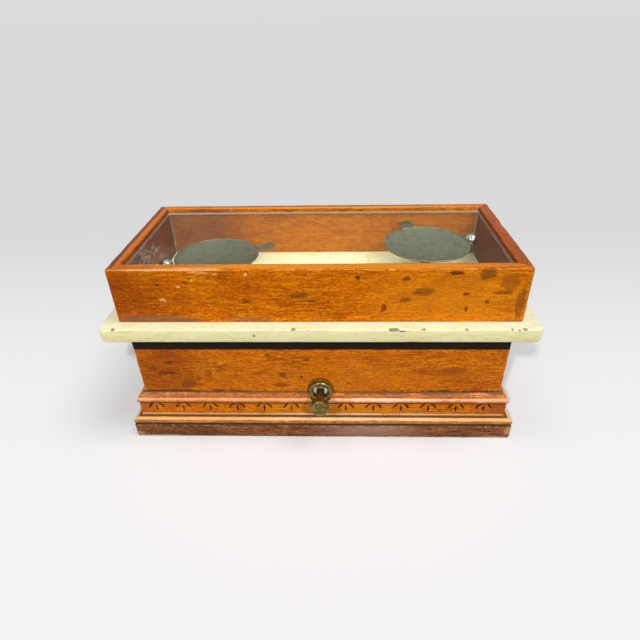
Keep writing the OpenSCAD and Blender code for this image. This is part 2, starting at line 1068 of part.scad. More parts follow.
module right_pan() {
    color(nickel) at_end(1) pan(right_tab_angle);
}

// Turned head with a raised ring round its face
module arrest_knob() {
    color(brass)
        translate([0, 0, shaft_z])
            difference() {
                union() {
                    rod_y(knob_r, knob_face + knob_nose, knob_face + knob_t);
                    rod_y(knob_r - knob_step, knob_face, knob_face + knob_nose);
                }
                rod_y(knob_r - knob_step - ring_w, knob_face - cut, knob_face + ring_h);
                rod_y(shaft_r, knob_face + shaft_stop, knob_face + knob_t + cut);
            }
}

module arrest_shaft() {
    color(brass)
        translate([0, 0, shaft_z])
            rod_y(shaft_r, knob_face + shaft_stop, cam_y);
}

// Edge of the cam: the radius grows steadily over the quarter turn that lifts,
// and a little past both of its ends
function cam_radius(a) =
    a <= cam_spare && a >= -90 - cam_spare ? cam_low - cam_rate * a :
    cam_low - cam_rate * cam_spare - cam_relief;

module arrest_cam() {
    step = 5;
    color(brass)
        translate([0, cam_y, shaft_z])
            rotate([90, 0, 0])
                difference() {
                    linear_extrude(cam_t)
                        polygon([for (a = [-180:step:180 - step])
                            cam_radius(a) * [sin(a), cos(a)]]);
                    translate([0, 0, -cut])
                        cylinder(r = shaft_r, h = cam_t + 2 * cut);
                }
}

module shaft_collar() {
    color(steel)
        translate([0, 0, shaft_z])
            difference() {
                rod_y(shaft_r + collar_wall, collar_y, collar_y + collar_t);
                rod_y(shaft_r, collar_y - cut, collar_y + collar_t + cut);
            }
}

// Cross-bar over the cam, two arms that reach back under the upper beam
module lifter() {
    color(iron)
        difference() {
            union() {
                translate([-pad_x - lifter_arm / 2, lifter_y, lifter_z])
                    cube([2 * pad_x + lifter_arm, lifter_t, lifter_h]);
                for (s = [-1, 1]) {
                    translate([s * pad_x - lifter_arm / 2, lifter_y, lifter_top - lifter_arm])
                        cube([lifter_arm, -lifter_y, lifter_arm]);
                    translate([s * pad_x, 0, lifter_top - lifter_arm])
                        cylinder(r = lifter_arm / 2, h = lifter_arm);
                    translate([s * guide_x, guide_y, lifter_z])
                        cylinder(r = guide_r + guide_wall, h = lifter_h);
                }
            }
            for (s = [-1, 1])
                translate([s * guide_x, guide_y, lifter_z - cut])
                    cylinder(r = guide_r + run_gap, h = lifter_h + 2 * cut);
        }
}

module lifter_pads() {
    color([0.35, 0.22, 0.13])
        for (s = [-1, 1])
            translate([s * pad_x, 0, pad_top - pad_t])
                cylinder(r = lifter_arm / 2, h = pad_t);
}

// Section of a cover board, with rounded top edges and the groove for the glass
module cover_section() {
    difference() {
        union() {
            translate([-cover_t, 0])
                square([cover_t, cover_h - cover_edge]);
            translate([-cover_t + cover_edge, 0])
                square([cover_t - 2 * cover_edge, cover_h]);
            for (x = [-cover_t + cover_edge, -cover_edge])
                translate([x, cover_h - cover_edge])
                    circle(cover_edge);
        }
        translate([-cover_t - cut, cover_h - glass_drop - glass_t])
            square([groove_depth + cut, glass_t + run_gap]);
    }
}

module cover_side(k) {
    translate([0, 0, plate_top])
        mitred_side(k, cover_w, cover_d, 0, cover_t, cover_h)
            cover_section();
}

module cover_front() {
    color(wood) cover_side(0);
}

module cover_right() {
    color(wood) cover_side(1);
}

module cover_back() {
    color(wood) cover_side(2);
}

module cover_left() {
    color(wood) cover_side(3);
}

module glass() {
    w = cover_w - 2 * (cover_t - groove_depth + glass_slack);
    d = cover_d - 2 * (cover_t - groove_depth + glass_slack);
    color([0.75, 0.85, 0.85, 0.35])
        translate([0, 0, cover_top - glass_drop - glass_t / 2])
            cube([w, d, glass_t], center = true);
}

base_board();
bead_moulding();
front_frieze();
back_frieze();
left_frieze();
right_frieze();
crown_moulding();
front_wall();
back_wall();
left_wall();
right_wall();
corner_blocks();
dust_strip();
plate_cleats();
plate_screws();
top_plate();
rosette();
shaft_bush();
bed_casting();
bed_screws();
centre_frame();
frame_screws();
centre_bands();
centre_clamps();
guide_posts();
beam_stops();
index_bracket();
index_scale();
upper_beam();
pointer();
poise();
balance_rods();
balance_nuts();
lower_beam();
left_frame();
right_frame();
left_bands();
right_bands();
left_clamps();
right_clamps();
left_column();
right_column();
left_spider();
right_spider();
left_button();
right_button();
left_pan();
right_pan();
arrest_knob();
arrest_shaft();
arrest_cam();
shaft_collar();
lifter();
lifter_pads();
cover_front();
cover_back();
cover_left();
cover_right();
glass();
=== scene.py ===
"""Torsion prescription balance: the finish and the fine shapes of every piece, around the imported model."""
import json
import math

import bmesh
import bpy
from mathutils import Matrix, Vector, noise


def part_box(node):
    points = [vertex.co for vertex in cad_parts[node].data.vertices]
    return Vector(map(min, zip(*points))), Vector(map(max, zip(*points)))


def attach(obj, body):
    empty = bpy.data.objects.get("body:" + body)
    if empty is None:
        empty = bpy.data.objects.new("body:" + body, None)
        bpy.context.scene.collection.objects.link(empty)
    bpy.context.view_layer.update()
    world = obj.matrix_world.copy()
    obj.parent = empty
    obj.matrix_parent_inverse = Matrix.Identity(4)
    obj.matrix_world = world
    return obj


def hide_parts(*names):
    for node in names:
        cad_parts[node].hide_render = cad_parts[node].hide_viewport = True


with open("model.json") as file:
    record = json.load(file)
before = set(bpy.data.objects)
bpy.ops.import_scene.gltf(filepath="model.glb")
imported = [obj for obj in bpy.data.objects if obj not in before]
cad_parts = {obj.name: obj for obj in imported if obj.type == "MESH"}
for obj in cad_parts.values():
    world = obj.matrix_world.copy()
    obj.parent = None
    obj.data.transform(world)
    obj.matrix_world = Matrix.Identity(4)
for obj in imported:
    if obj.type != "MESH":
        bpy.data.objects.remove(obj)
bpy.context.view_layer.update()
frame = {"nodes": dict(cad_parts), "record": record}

MM = 0.001
PER_MM = 1000.0

# Sizes that every piece takes from the frame
plate_low, plate_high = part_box("top_plate")
glass_low, glass_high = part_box("glass")
front_wall_low, front_wall_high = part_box("front_wall")
case_w = front_wall_high.x - front_wall_low.x
case_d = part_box("back_wall")[1].y - front_wall_low.y
cover_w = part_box("cover_front")[1].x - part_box("cover_front")[0].x
cover_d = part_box("cover_back")[1].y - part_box("cover_front")[0].y
cover_foot, cover_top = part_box("cover_front")[0].z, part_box("cover_front")[1].z
cover_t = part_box("cover_front")[1].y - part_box("cover_front")[0].y
shaft_z = (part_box("arrest_shaft")[0].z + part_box("arrest_shaft")[1].z) / 2
FRONT, RIGHT, BACK, LEFT = range(4)


# Small helpers

def srgb(red, green, blue):
    """The linear colour of three 8-bit screen values."""
    def linear(value):
        value /= 255
        return value / 12.92 if value <= 0.04045 else ((value + 0.055) / 1.055) ** 2.4
    return (linear(red), linear(green), linear(blue), 1.0)


def blend_to(start, end, share):
    return start + (end - start) * share


def smooth_step(value, start, end):
    share = min(1.0, max(0.0, (value - start) / (end - start)))
    return share * share * (3 - 2 * share)


def ripple(place, size, seed=0.0):
    """Soft noise from -1 to 1 whose bumps are about size wide; place is in metres."""
    at = place / size + Vector((seed * 7.3, seed * 3.1, seed * 5.7))
    return 0.7 * noise.noise(at) + 0.3 * noise.noise(at * 2.3)


# Shader helpers

class Sheet:
    """The nodes of one material or node group, put down one call at a time."""

    def __init__(self, tree):
        self.tree = tree

    def feed(self, socket, value):
        if isinstance(value, bpy.types.NodeSocket):
            self.tree.links.new(value, socket)
        else:
            socket.default_value = value

    def put(self, kind, values=None, **settings):
        made = self.tree.nodes.new("ShaderNode" + kind)
        for name, value in settings.items():
            setattr(made, name, value)
        for socket, value in (values or {}).items():
            self.feed(made.inputs[socket], value)
        return made

    def use(self, group, values=None):
        made = self.put("Group", node_tree=group)
        for socket, value in (values or {}).items():
            self.feed(made.inputs[socket], value)
        return made.outputs

    def mask(self, group, *values):
        """The mask that a group puts out, with its inputs fed in their order."""
        made = self.put("Group", node_tree=group)
        for socket, value in zip(made.inputs, values):
            self.feed(socket, value)
        return made.outputs["Mask"]

    def math(self, operation, *values):
        made = self.put("Math", operation=operation)
        for socket, value in zip(made.inputs, values):
            self.feed(socket, value)
        return made.outputs[0]

    def plus(self, first, second):
        return self.math("ADD", first, second)

    def minus(self, first, second):
        return self.math("SUBTRACT", first, second)

    def times(self, first, second):
        return self.math("MULTIPLY", first, second)

    def rest(self, value):
        """What is missing from 1."""
        return self.minus(1.0, value)

    def vector(self, operation, *values):
        made = self.put("VectorMath", operation=operation)
        for socket, value in zip(made.inputs, values):
            self.feed(socket, value)
        return made.outputs["Value" if operation in ("LENGTH", "DISTANCE", "DOT_PRODUCT") else "Vector"]

    def scaled(self, place, rates):
        """A place times the rates, which are one number or one for each axis."""
        return self.vector("MULTIPLY", place, (rates,) * 3 if isinstance(rates, float) else rates)

    def even(self, value):
        """The same value along all three axes."""
        return self.put("CombineXYZ", dict.fromkeys("XYZ", value)).outputs[0]

    def axes(self, place):
        return self.put("SeparateXYZ", {"Vector": place}).outputs

    def mix(self, share, first, second, blend="MIX"):
        made = self.put("Mix", data_type="RGBA", blend_type=blend, clamp_factor=True)
        for index, value in zip((0, 6, 7), (share, first, second)):
            self.feed(made.inputs[index], value)
        return made.outputs[2]

    def lay(self, colour, mask, share, tint):
        """A colour with a tint laid over it where the mask is, at this share."""
        return self.mix(self.times(mask, share), colour, tint)

    def step(self, value, start, end):
        """0 below start, 1 above end, and smooth between."""
        made = self.put("MapRange", {"Value": value, "From Min": start, "From Max": end},
                        interpolation_type="SMOOTHSTEP")
        return made.outputs["Result"]

    def noise(self, place, detail=3.0, roughness=0.55):
        made = self.put("TexNoise", {"Vector": place, "Scale": 1.0, "Detail": detail,
                                     "Roughness": roughness})
        return made.outputs["Fac"]

    def noise_at(self, place, rates, detail=3.0, roughness=0.55):
        """Noise with this many waves to the millimetre, one number or one for each axis."""
        return self.noise(self.scaled(place, rates), detail, roughness)

    def swirl(self, place, detail=4.0):
        """A vector that wanders by up to about half a unit each way."""
        made = self.put("TexNoise", {"Vector": place, "Scale": 1.0, "Detail": detail, "Roughness": 0.6})
        return self.vector("SUBTRACT", made.outputs["Color"], (0.5, 0.5, 0.5))

    def attribute(self, name):
        return self.put("Attribute", attribute_name=name).outputs["Fac"]

    def place_mm(self):
        """Where a point of the piece lies in the frame at rest, in millimetres."""
        where = self.put("TexCoord").outputs["Object"]
        return self.scaled(where, PER_MM)


NUMBER, COLOUR, ARROW = "NodeSocketFloat", "NodeSocketColor", "NodeSocketVector"


def new_group(name, inputs, outputs):
    """A node group with these sockets: its sheet, the values that come in, and the sockets that go out."""
    tree = bpy.data.node_groups.new(name, "ShaderNodeTree")
    for label, kind, value in inputs:
        tree.interface.new_socket(label, in_out="INPUT", socket_type=kind).default_value = value
    for label, kind in outputs:
        tree.interface.new_socket(label, in_out="OUTPUT", socket_type=kind)
    sheet = Sheet(tree)
    start, end = tree.nodes.new("NodeGroupInput"), tree.nodes.new("NodeGroupOutput")
    return sheet, start.outputs, end.inputs


def make_grain_group():
    """Close-grained wood with its grain along X: fine streaks, short pores, a soft figure and a mottle."""
    sheet, given, result = new_group(
        "wood_grain",
        [("Place", ARROW, (0, 0, 0)), ("Pale", COLOUR, (0.8, 0.4, 0.1, 1)),
         ("Mid", COLOUR, (0.6, 0.2, 0.05, 1)), ("Deep", COLOUR, (0.3, 0.08, 0.02, 1))],
        [("Color", COLOUR), ("Height", NUMBER)])
    place = given["Place"]
    wander = sheet.noise_at(place, (0.012, 0.03, 0.03), 2.0)
    bent = sheet.vector("ADD", place, sheet.scaled((0.0, 14.0, 14.0), wander))
    streak = sheet.noise_at(bent, (0.05, 0.95, 0.95), 4.0, 0.62)
    pores = sheet.noise_at(bent, (0.4, 3.2, 3.2), 2.0, 0.5)
    figure = sheet.noise_at(bent, (0.018, 0.06, 0.06), 3.0)
    mottle = sheet.noise_at(place, (0.3, 0.62, 0.62), 4.0, 0.68)
    flecks = sheet.noise_at(sheet.vector("ADD", place, (7, 11, 3)), (0.55, 1.2, 1.2), 3.0, 0.7)
    colour = sheet.lay(given["Mid"], sheet.step(figure, 0.44, 0.66), 0.65, given["Deep"])
    colour = sheet.mix(sheet.step(streak, 0.43, 0.6), colour, given["Pale"])
    colour = sheet.lay(colour, sheet.step(mottle, 0.47, 0.62), 0.7, given["Deep"])
    colour = sheet.lay(colour, sheet.step(pores, 0.52, 0.66), 0.7, given["Deep"])
    colour = sheet.lay(colour, sheet.step(flecks, 0.56, 0.68), 0.55, given["Pale"])
    sheet.feed(result["Color"], colour)
    height = sheet.plus(streak, sheet.times(mottle, 0.6))
    sheet.feed(result["Height"], sheet.minus(height, sheet.times(pores, 0.4)))
    return sheet.tree


def make_speck_group():
    """Scattered specks: Spacing and Size in millimetres, Share of the places that have one."""
    sheet, given, result = new_group(
        "specks",
        [("Place", ARROW, (0, 0, 0)), ("Spacing", NUMBER, 12.0), ("Size", NUMBER, 1.0),
         ("Share", NUMBER, 0.5)],
        [("Mask", NUMBER)])
    ragged = sheet.noise_at(given["Place"], 1.3, 2.0)
    where = sheet.vector("DIVIDE", given["Place"], sheet.even(given["Spacing"]))
    cells = sheet.put("TexVoronoi", {"Scale": 1.0, "Vector": where})
    away = sheet.times(cells.outputs["Distance"], given["Spacing"])
    away = sheet.plus(away, sheet.times(ragged, given["Size"]))
    luck = sheet.put("SeparateColor", {"Color": cells.outputs["Color"]}).outputs
    reach = sheet.times(given["Size"], sheet.plus(luck["Red"], 0.6))
    inside = sheet.step(sheet.minus(reach, away), -0.15, 0.25)
    chosen = sheet.math("LESS_THAN", luck["Green"], given["Share"])
    sheet.feed(result["Mask"], sheet.times(inside, chosen))
    return sheet.tree


def make_spot_group():
    """One ragged spot at Centre with half sizes Reach, in millimetres."""
    sheet, given, result = new_group(
        "spot",
        [("Place", ARROW, (0, 0, 0)), ("Centre", ARROW, (0, 0, 0)), ("Reach", ARROW, (1, 1, 1)),
         ("Ragged", NUMBER, 1.5), ("Soft", NUMBER, 0.4)],
        [("Mask", NUMBER)])
    away = sheet.vector("DIVIDE", sheet.vector("SUBTRACT", given["Place"], given["Centre"]), given["Reach"])
    seed = sheet.vector("ADD", sheet.scaled(away, 0.9), given["Centre"])
    bent = sheet.scaled(sheet.swirl(seed, 6.0), given["Ragged"])
    far = sheet.vector("LENGTH", sheet.vector("ADD", away, bent))
    edge = sheet.step(far, sheet.rest(given["Soft"]), 1.0)
    broken = sheet.step(sheet.noise_at(given["Place"], 0.9, 4.0, 0.7), 0.3, 0.6)
    inside = sheet.rest(edge)
    sheet.feed(result["Mask"], sheet.times(inside, sheet.plus(0.45, sheet.times(broken, 0.55))))
    return sheet.tree


def make_edge_patch_group():
    """Ragged patches along a mark: Near is 1 on an arris or in a recess and fades away from it. The patches
    stand for abraded finish and dirt, and for painted highlight on arrises and painted shade in recesses.
    """
    sheet, given, result = new_group(
        "edge_patches",
        [("Place", ARROW, (0, 0, 0)), ("Near", NUMBER, 0.0), ("Amount", NUMBER, 0.5),
         ("Patch", NUMBER, 8.0)],
        [("Mask", NUMBER)])
    patches = sheet.vector("DIVIDE", given["Place"], sheet.even(given["Patch"]))
    large = sheet.noise(patches, 4.0, 0.65)
    fine = sheet.noise_at(given["Place"], (0.55, 1.0, 1.0), 4.0, 0.7)
    swing = sheet.times(sheet.minus(large, 0.5), 2.0)
    swing = sheet.plus(swing, sheet.times(sheet.minus(fine, 0.5), 1.3))
    level = sheet.plus(given["Near"], swing)
    start = sheet.minus(1.05, given["Amount"])
    patch_mask = sheet.step(sheet.minus(level, start), -0.05, 0.4)
    near = sheet.step(given["Near"], 0.02, 0.3)
    sheet.feed(result["Mask"], sheet.times(patch_mask, near))
    return sheet.tree


def make_scuff_group():
    """Thin scratches that wander over the surface, in patches."""
    sheet, given, result = new_group(
        "scuffs",
        [("Place", ARROW, (0, 0, 0)), ("Length", NUMBER, 10.0), ("Width", NUMBER, 0.02),
         ("Share", NUMBER, 0.4)],
        [("Mask", NUMBER)])
    slant = sheet.put("Mapping", {"Vector": given["Place"], "Rotation": (0.6, 0.5, 0.7)}).outputs[0]
    shrink = sheet.vector("DIVIDE", slant, sheet.even(given["Length"]))
    wander = sheet.noise_at(shrink, (1.0, 2.6, 1.7), 3.0, 0.5)
    off = sheet.math("ABSOLUTE", sheet.minus(wander, 0.5))
    line = sheet.rest(sheet.step(off, 0.0, given["Width"]))
    patch = sheet.noise_at(given["Place"], 0.06, 2.0)
    shown = sheet.step(sheet.minus(patch, sheet.rest(given["Share"])), 0.0, 0.1)
    sheet.feed(result["Mask"], sheet.times(line, shown))
    return sheet.tree


GRAIN, SPECKS, SPOT = make_grain_group(), make_speck_group(), make_spot_group()
EDGE_PATCHES, SCUFFS = make_edge_patch_group(), make_scuff_group()


def new_material(name):
    """An empty material: its sheet and its shader, which is already joined to the output."""
    made = bpy.data.materials.new(name)
    made.use_nodes = True
    made.node_tree.nodes.clear()
    sheet = Sheet(made.node_tree)
    shader = sheet.put("BsdfPrincipled")
    sheet.put("OutputMaterial", {"Surface": shader.outputs[0]})
    return made, sheet, shader


def set_relief(sheet, shader, height, depth_mm, strength=1.0):
    bump = sheet.put("Bump", {"Height": height, "Strength": strength, "Distance": depth_mm * MM})
    sheet.feed(shader.inputs["Normal"], bump.outputs[0])


# Finishes of the wood

def tones(pale, mid, deep):
    """The three colours of a wood or a paint."""
    return {"pale": srgb(*pale), "mid": srgb(*mid), "deep": srgb(*deep)}


ORANGE = tones((240, 146, 6), (216, 107, 0), (148, 60, 0))
HONEY = tones((226, 152, 62), (198, 112, 26), (142, 62, 8))
RUSSET = tones((204, 106, 20), (176, 80, 8), (126, 50, 4))
PLINTH = tones((178, 112, 68), (128, 70, 32), (58, 28, 10))
GOLD, UMBER = srgb(240, 150, 26), srgb(138, 52, 0)
# Colour laid in recesses: dirt, and painted shade where the recesses are in shadow
GRIME_AND_SHADE = srgb(58, 40, 28)
BARE_WOOD = srgb(250, 190, 124)
DARK_SPOT = srgb(40, 17, 5)
# Near-black for the painted shadow under the overhang of the top plate
PAINTED_SHADOW = srgb(24, 9, 3)
# Spots whose middle half size is over this, in millimetres, are soft clouds
WIDE_SPOT = 12
MARK_PITCH, MARK_COUNT, MARK_SHIFT = 24 * MM, 13, 2 * MM
MARK_TALL, MARK_ROOT, MARK_SPREAD = 9.4 * MM, 3.0 * MM, 7.0 * MM


def stroke_mask(sheet, place, pitch, slide, head):
    """The dirt in a row of crow's-foot marks, in millimetres: its pitch, its shift and where they start."""
    wander = sheet.scaled(sheet.swirl(sheet.scaled(place, 0.4)), 1.3)
    parts = sheet.axes(sheet.vector("ADD", place, wander))
    side = sheet.math("PINGPONG", sheet.plus(parts["X"], slide), pitch / 2)
    drop = sheet.minus(head, parts["Z"])
    off = sheet.math("ABSOLUTE", sheet.minus(side, sheet.plus(MARK_ROOT * PER_MM, sheet.times(drop, 0.82))))
    leg = sheet.times(sheet.rest(sheet.step(off, 0.6, 1.2)), sheet.rest(sheet.step(drop, 4.4, 5.2)))
    upright = sheet.times(sheet.rest(sheet.step(side, 0.45, 0.95)),
                          sheet.times(sheet.step(drop, 1.6, 2.6), sheet.rest(sheet.step(drop, 7.6, 9.0))))
    faded = sheet.step(sheet.noise_at(place, (0.11, 0.3, 0.3), 3.0), 0.3, 0.55)
    return sheet.times(sheet.math("MAXIMUM", leg, upright), sheet.plus(0.45, sheet.times(faded, 0.5)))


def wood_material(name, wood, along="X", shift=(0, 0, 0), spots=(), bare_and_sheen=BARE_WOOD, worn_and_sheen=0.5,
                  grime_and_shade=0.5, soil_and_shade=GRIME_AND_SHADE, inside=None, shadow_band=None, rough=0.34, gloss=0.12, specks=0.3,
                  patch=6.0, highlight_spot=None, strokes=None):
    """Varnished wood with its grain along X or Y. The mesh says where its arrises, recesses and
    inner faces are; spots are (centre, reach, colour, share) in millimetres. The recesses are darkened
    as dirt and as painted shade, the arrises are made paler as abraded varnish and as a painted
    highlight, a highlight spot makes them paler still, and above the shadow height the wood is painted
    near-black as a painted shadow under the top plate.
    strokes is the (pitch, slide, head) of the dirt in a row of crow's-foot marks."""
    made, sheet, shader = new_material(name)
    place = sheet.place_mm()
    moved = sheet.vector("ADD", place, shift)
    if along == "Y":
        parts = sheet.axes(moved)
        moved = sheet.put("CombineXYZ", {0: parts["Y"], 1: parts["X"], 2: parts["Z"]}).outputs[0]
    grain = sheet.use(GRAIN, {"Place": moved, "Pale": wood["pale"], "Mid": wood["mid"],
                              "Deep": wood["deep"]})
    colour = grain["Color"]
    cloud = sheet.noise_at(moved, (0.04, 0.075, 0.075), 5.0, 0.7)
    colour = sheet.lay(colour, sheet.step(cloud, 0.52, 0.7), 0.6, wood["deep"])
    if inside:
        tint, share = inside
        colour = sheet.lay(colour, sheet.attribute("inside"), share, tint)
    dark = sheet.mask(SPECKS, moved, 8.0, 0.7, specks)
    colour = sheet.lay(colour, dark, 0.8, DARK_SPOT)
    nicks = sheet.mask(SPECKS, sheet.vector("ADD", moved, (31, 17, 5)), 17.0, 0.55, 0.25)
    colour = sheet.lay(colour, nicks, 0.7, bare_and_sheen)
    scratch = sheet.mask(SCUFFS, moved, 16.0, 0.006, 0.42)
    colour = sheet.lay(colour, scratch, 0.35, wood["pale"])
    for centre, reach, tint, share in spots:
        wide = sorted(reach)[1] > WIDE_SPOT
        mask = sheet.mask(SPOT, place, centre, reach, 0.8 if wide else 1.5, 0.85 if wide else 0.35)
        colour = sheet.lay(colour, mask, share, tint)
    if strokes:
        cut = stroke_mask(sheet, place, *strokes)
        colour = sheet.mix(cut, colour, srgb(56, 24, 6))
    # Recesses darkened: dirt, and painted shade in the grooves, under the overhangs of the mouldings and
    # where boards meet
    soiled_and_shaded = sheet.mask(EDGE_PATCHES, moved, sheet.attribute("recess"), grime_and_shade, 14.0)
    colour = sheet.lay(colour, soiled_and_shaded, 0.8, soil_and_shade)
    # Arrises made paler: abraded varnish, and on the crown, bead and frieze also a painted highlight
    patch_mask = sheet.mask(EDGE_PATCHES, moved, sheet.attribute("arris"), worn_and_sheen, patch)
    # Painted highlight: inside the highlight spot the paler arrises are painted paler still
    if highlight_spot:
        centre, reach, tint = highlight_spot
        highlight_mask = sheet.mask(SPOT, place, centre, reach, 0.9, 0.8)
        bare_and_sheen = sheet.mix(highlight_mask, bare_and_sheen, tint)
    colour = sheet.lay(colour, patch_mask, 0.85, bare_and_sheen)
    # Painted shadow: above the given height the wall is painted near-black, as the shadow of the top plate's
    # overhang
    if shadow_band:
        height = sheet.axes(place)["Z"]
        above = sheet.step(sheet.plus(height, sheet.times(cloud, 1.2)), shadow_band, shadow_band + 1.3)
        colour = sheet.mix(above, colour, PAINTED_SHADOW)
    sheet.feed(shader.inputs["Base Color"], colour)
    matt = sheet.plus(patch_mask, soiled_and_shaded)
    sheet.feed(shader.inputs["Roughness"], sheet.plus(rough, sheet.times(matt, 0.25)))
    shader.inputs["Specular IOR Level"].default_value = gloss
    height = sheet.minus(grain["Height"], sheet.times(dark, 2.0))
    set_relief(sheet, shader, height, 0.09, 0.7)
    return made


# Mesh helpers

def finish_mesh(name, bm, material, body, sharp=35.0, replaces=()):
    """Turns a bmesh into a piece: smooth but for its arrises, on its body, with its finish."""
    bmesh.ops.recalc_face_normals(bm, faces=bm.faces)
    mesh = bpy.data.meshes.new(name)
    bm.to_mesh(mesh)
    bm.free()
    mesh.polygons.foreach_set("use_smooth", [True] * len(mesh.polygons))
    mesh.set_sharp_from_angle(angle=math.radians(sharp))
    piece = bpy.data.objects.new(name, mesh)
    bpy.context.scene.collection.objects.link(piece)
    mesh.materials.append(material)
    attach(piece, body)
    if replaces:
        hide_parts(*replaces)
    return piece


def mark_layers(bm):
    """The three marks that a wood finish reads, as numbers on the vertices."""
    return {name: bm.verts.layers.float.new(name) for name in ("arris", "recess", "inside")}


class Point:
    """A point of a section: out and up in metres, its marks, and how far the edge may be eaten back."""

    def __init__(self, out, up, arris=0.0, recess=0.0, inside=0.0, bite=0.0):
        self.out, self.up, self.bite = out, up, bite
        self.marks = {"arris": arris, "recess": recess, "inside": inside}


def arc(centre, radius, start, end, count, **marks):
    """Points on a round stretch, from angle start to angle end in degrees."""
    points = []
    for i in range(count):
        angle = math.radians(blend_to(start, end, i / (count - 1)))
        out, up = centre[0] + radius * math.cos(angle), centre[1] + radius * math.sin(angle)
        points.append(Point(out, up, **marks))
    return points


def inward(section):
    """The unit vector into the wood at each point of a closed section."""
    found = []
    twice_area = sum(a.out * b.up - b.out * a.up for a, b in zip(section, section[1:] + section[:1]))
    sign = 1 if twice_area > 0 else -1
    for i, point in enumerate(section):
        before, after = section[i - 1], section[(i + 1) % len(section)]
        along = Vector((after.out - before.out, after.up - before.up))
        found.append(Vector((-along.y, along.x)).normalized() * sign if along.length else Vector((0, 0)))
    return found


def skin(bm, rings, caps=True):
    """Faces between rings of vertices and, with caps, over the first and the last one."""
    count = len(rings[0])
    for ring, following in zip(rings, rings[1:]):
        for j in range(count):
            k = (j + 1) % count
            bm.faces.new((ring[j], ring[k], following[k], following[j]))
    if caps:
        bm.faces.new(rings[0])
        bm.faces.new(list(reversed(rings[-1])))


MITRE_GAP = 0.05 * MM
BEND_STEPS = 5


def mitred_length(bm, layers, side, rect, foot, section, pitch=2.0 * MM, corner=0.0):
    """One mitred length on a side of the rectangle rect. Its section has x outwards and y up."""
    long, deep = rect if side % 2 == 0 else rect[::-1]
    turn = Matrix.Rotation(side * math.pi / 2, 4, "Z")
    half = long / 2
    into = inward(section)
    straight = max(8, round(long / pitch))
    bends = BEND_STEPS if corner else 0
    shares = [-1 + 2 * i / straight for i in range(straight + 1)]
    stations = [(-1, b / bends) for b in range(bends, 0, -1)] + [(s, 0) for s in shares]
    stations += [(1, b / bends) for b in range(1, bends + 1)]
    rings = []
    for share, bend in stations:
        ring = []
        for point, dent in zip(section, into):
            radius = max(0.0, corner + point.out)
            rounded = corner > 0 and radius > 0
            if rounded:
                angle = bend * math.pi / 4
                x = abs(share) * (half - corner) + radius * math.sin(angle)
                out = -corner + radius * math.cos(angle)
            else:
                x = abs(share) * (half + point.out) if not corner else blend_to(
                    abs(share) * (half - corner), half + point.out, bend)
                out = point.out
            sign = 1 if share > 0 else -1
            x = sign * min(x, half + out - MITRE_GAP)
            spot = Vector((x, -deep / 2 - out, foot + point.up))
            if point.bite:
                rough = 0.35 + 0.65 * ripple(spot, 9 * MM, side + 1.5)
                chip = smooth_step(ripple(spot, 23 * MM, side + 4.0), 0.25, 0.55)
                bite = point.bite * max(0.0, rough + 1.6 * chip)
                spot += Vector((0, -dent.x * bite, dent.y * bite))
            vertex = bm.verts.new(turn @ spot)
            for name, layer in layers.items():
                vertex[layer] = point.marks[name]
            ring.append(vertex)
        rings.append(ring)
    skin(bm, rings)


def mitred_frame(name, sides, rect, foot, section, material, body, slot, replaces, **settings):
    bm = bmesh.new()
    layers = mark_layers(bm)
    for side in sides:
        mitred_length(bm, layers, side, rect, foot, section, **settings)
    return finish_mesh(name, bm, material, body, replaces=replaces)


def cut_away(piece, cutter_bm):
    """Cuts the shapes of a bmesh out of a piece."""
    mesh = bpy.data.meshes.new("cutter")
    bmesh.ops.recalc_face_normals(cutter_bm, faces=cutter_bm.faces)
    cutter_bm.to_mesh(mesh)
    cutter_bm.free()
    cutter = bpy.data.objects.new("cutter", mesh)
    bpy.context.scene.collection.objects.link(cutter)
    modifier = piece.modifiers.new("cut", "BOOLEAN")
    modifier.object, modifier.operation, modifier.solver = cutter, "DIFFERENCE", "EXACT"
    bpy.context.view_layer.update()
    shown = piece.evaluated_get(bpy.context.evaluated_depsgraph_get())
    cut = bpy.data.meshes.new_from_object(shown)
    piece.modifiers.clear()
    piece.data = cut
    bpy.data.objects.remove(cutter)


def lathe_rings(bm, profile, axis_to_frame, count=96):
    """Turned shape. Its profile is (radius, height) along the axis, closed on the axis or on itself."""
    rings = []
    for radius, height in profile:
        if radius < 1e-7:
            rings.append([bm.verts.new(axis_to_frame @ Vector((0, 0, height)))])
            continue
        ring = []
        for i in range(count):
            angle = 2 * math.pi * i / count
            spot = Vector((radius * math.cos(angle), radius * math.sin(angle), height))
            ring.append(bm.verts.new(axis_to_frame @ spot))
        rings.append(ring)
    on_axis = len(rings[0]) == 1 and len(rings[-1]) == 1
    pairs = list(zip(rings, rings[1:])) + ([] if on_axis else [(rings[-1], rings[0])])
    for ring, following in pairs:
        for i in range(count):
            j = (i + 1) % count
            if len(ring) == 1:
                bm.faces.new((ring[0], following[i], following[j]))
            elif len(following) == 1:
                bm.faces.new((ring[i], following[0], ring[j]))
            else:
                bm.faces.new((ring[i], following[i], following[j], ring[j]))


def round_profile(centre, radius, start, end, count):
    """Points (radius, height) on a round stretch of a turned profile."""
    return [(centre[0] + radius * math.cos(math.radians(blend_to(start, end, i / (count - 1)))),
             centre[1] + radius * math.sin(math.radians(blend_to(start, end, i / (count - 1)))))
            for i in range(count)]


# Cover: four mitred boards, each with a groove for the glass

COVER_EDGE = 1.3 * MM
COVER_CORNER = 2.4 * MM


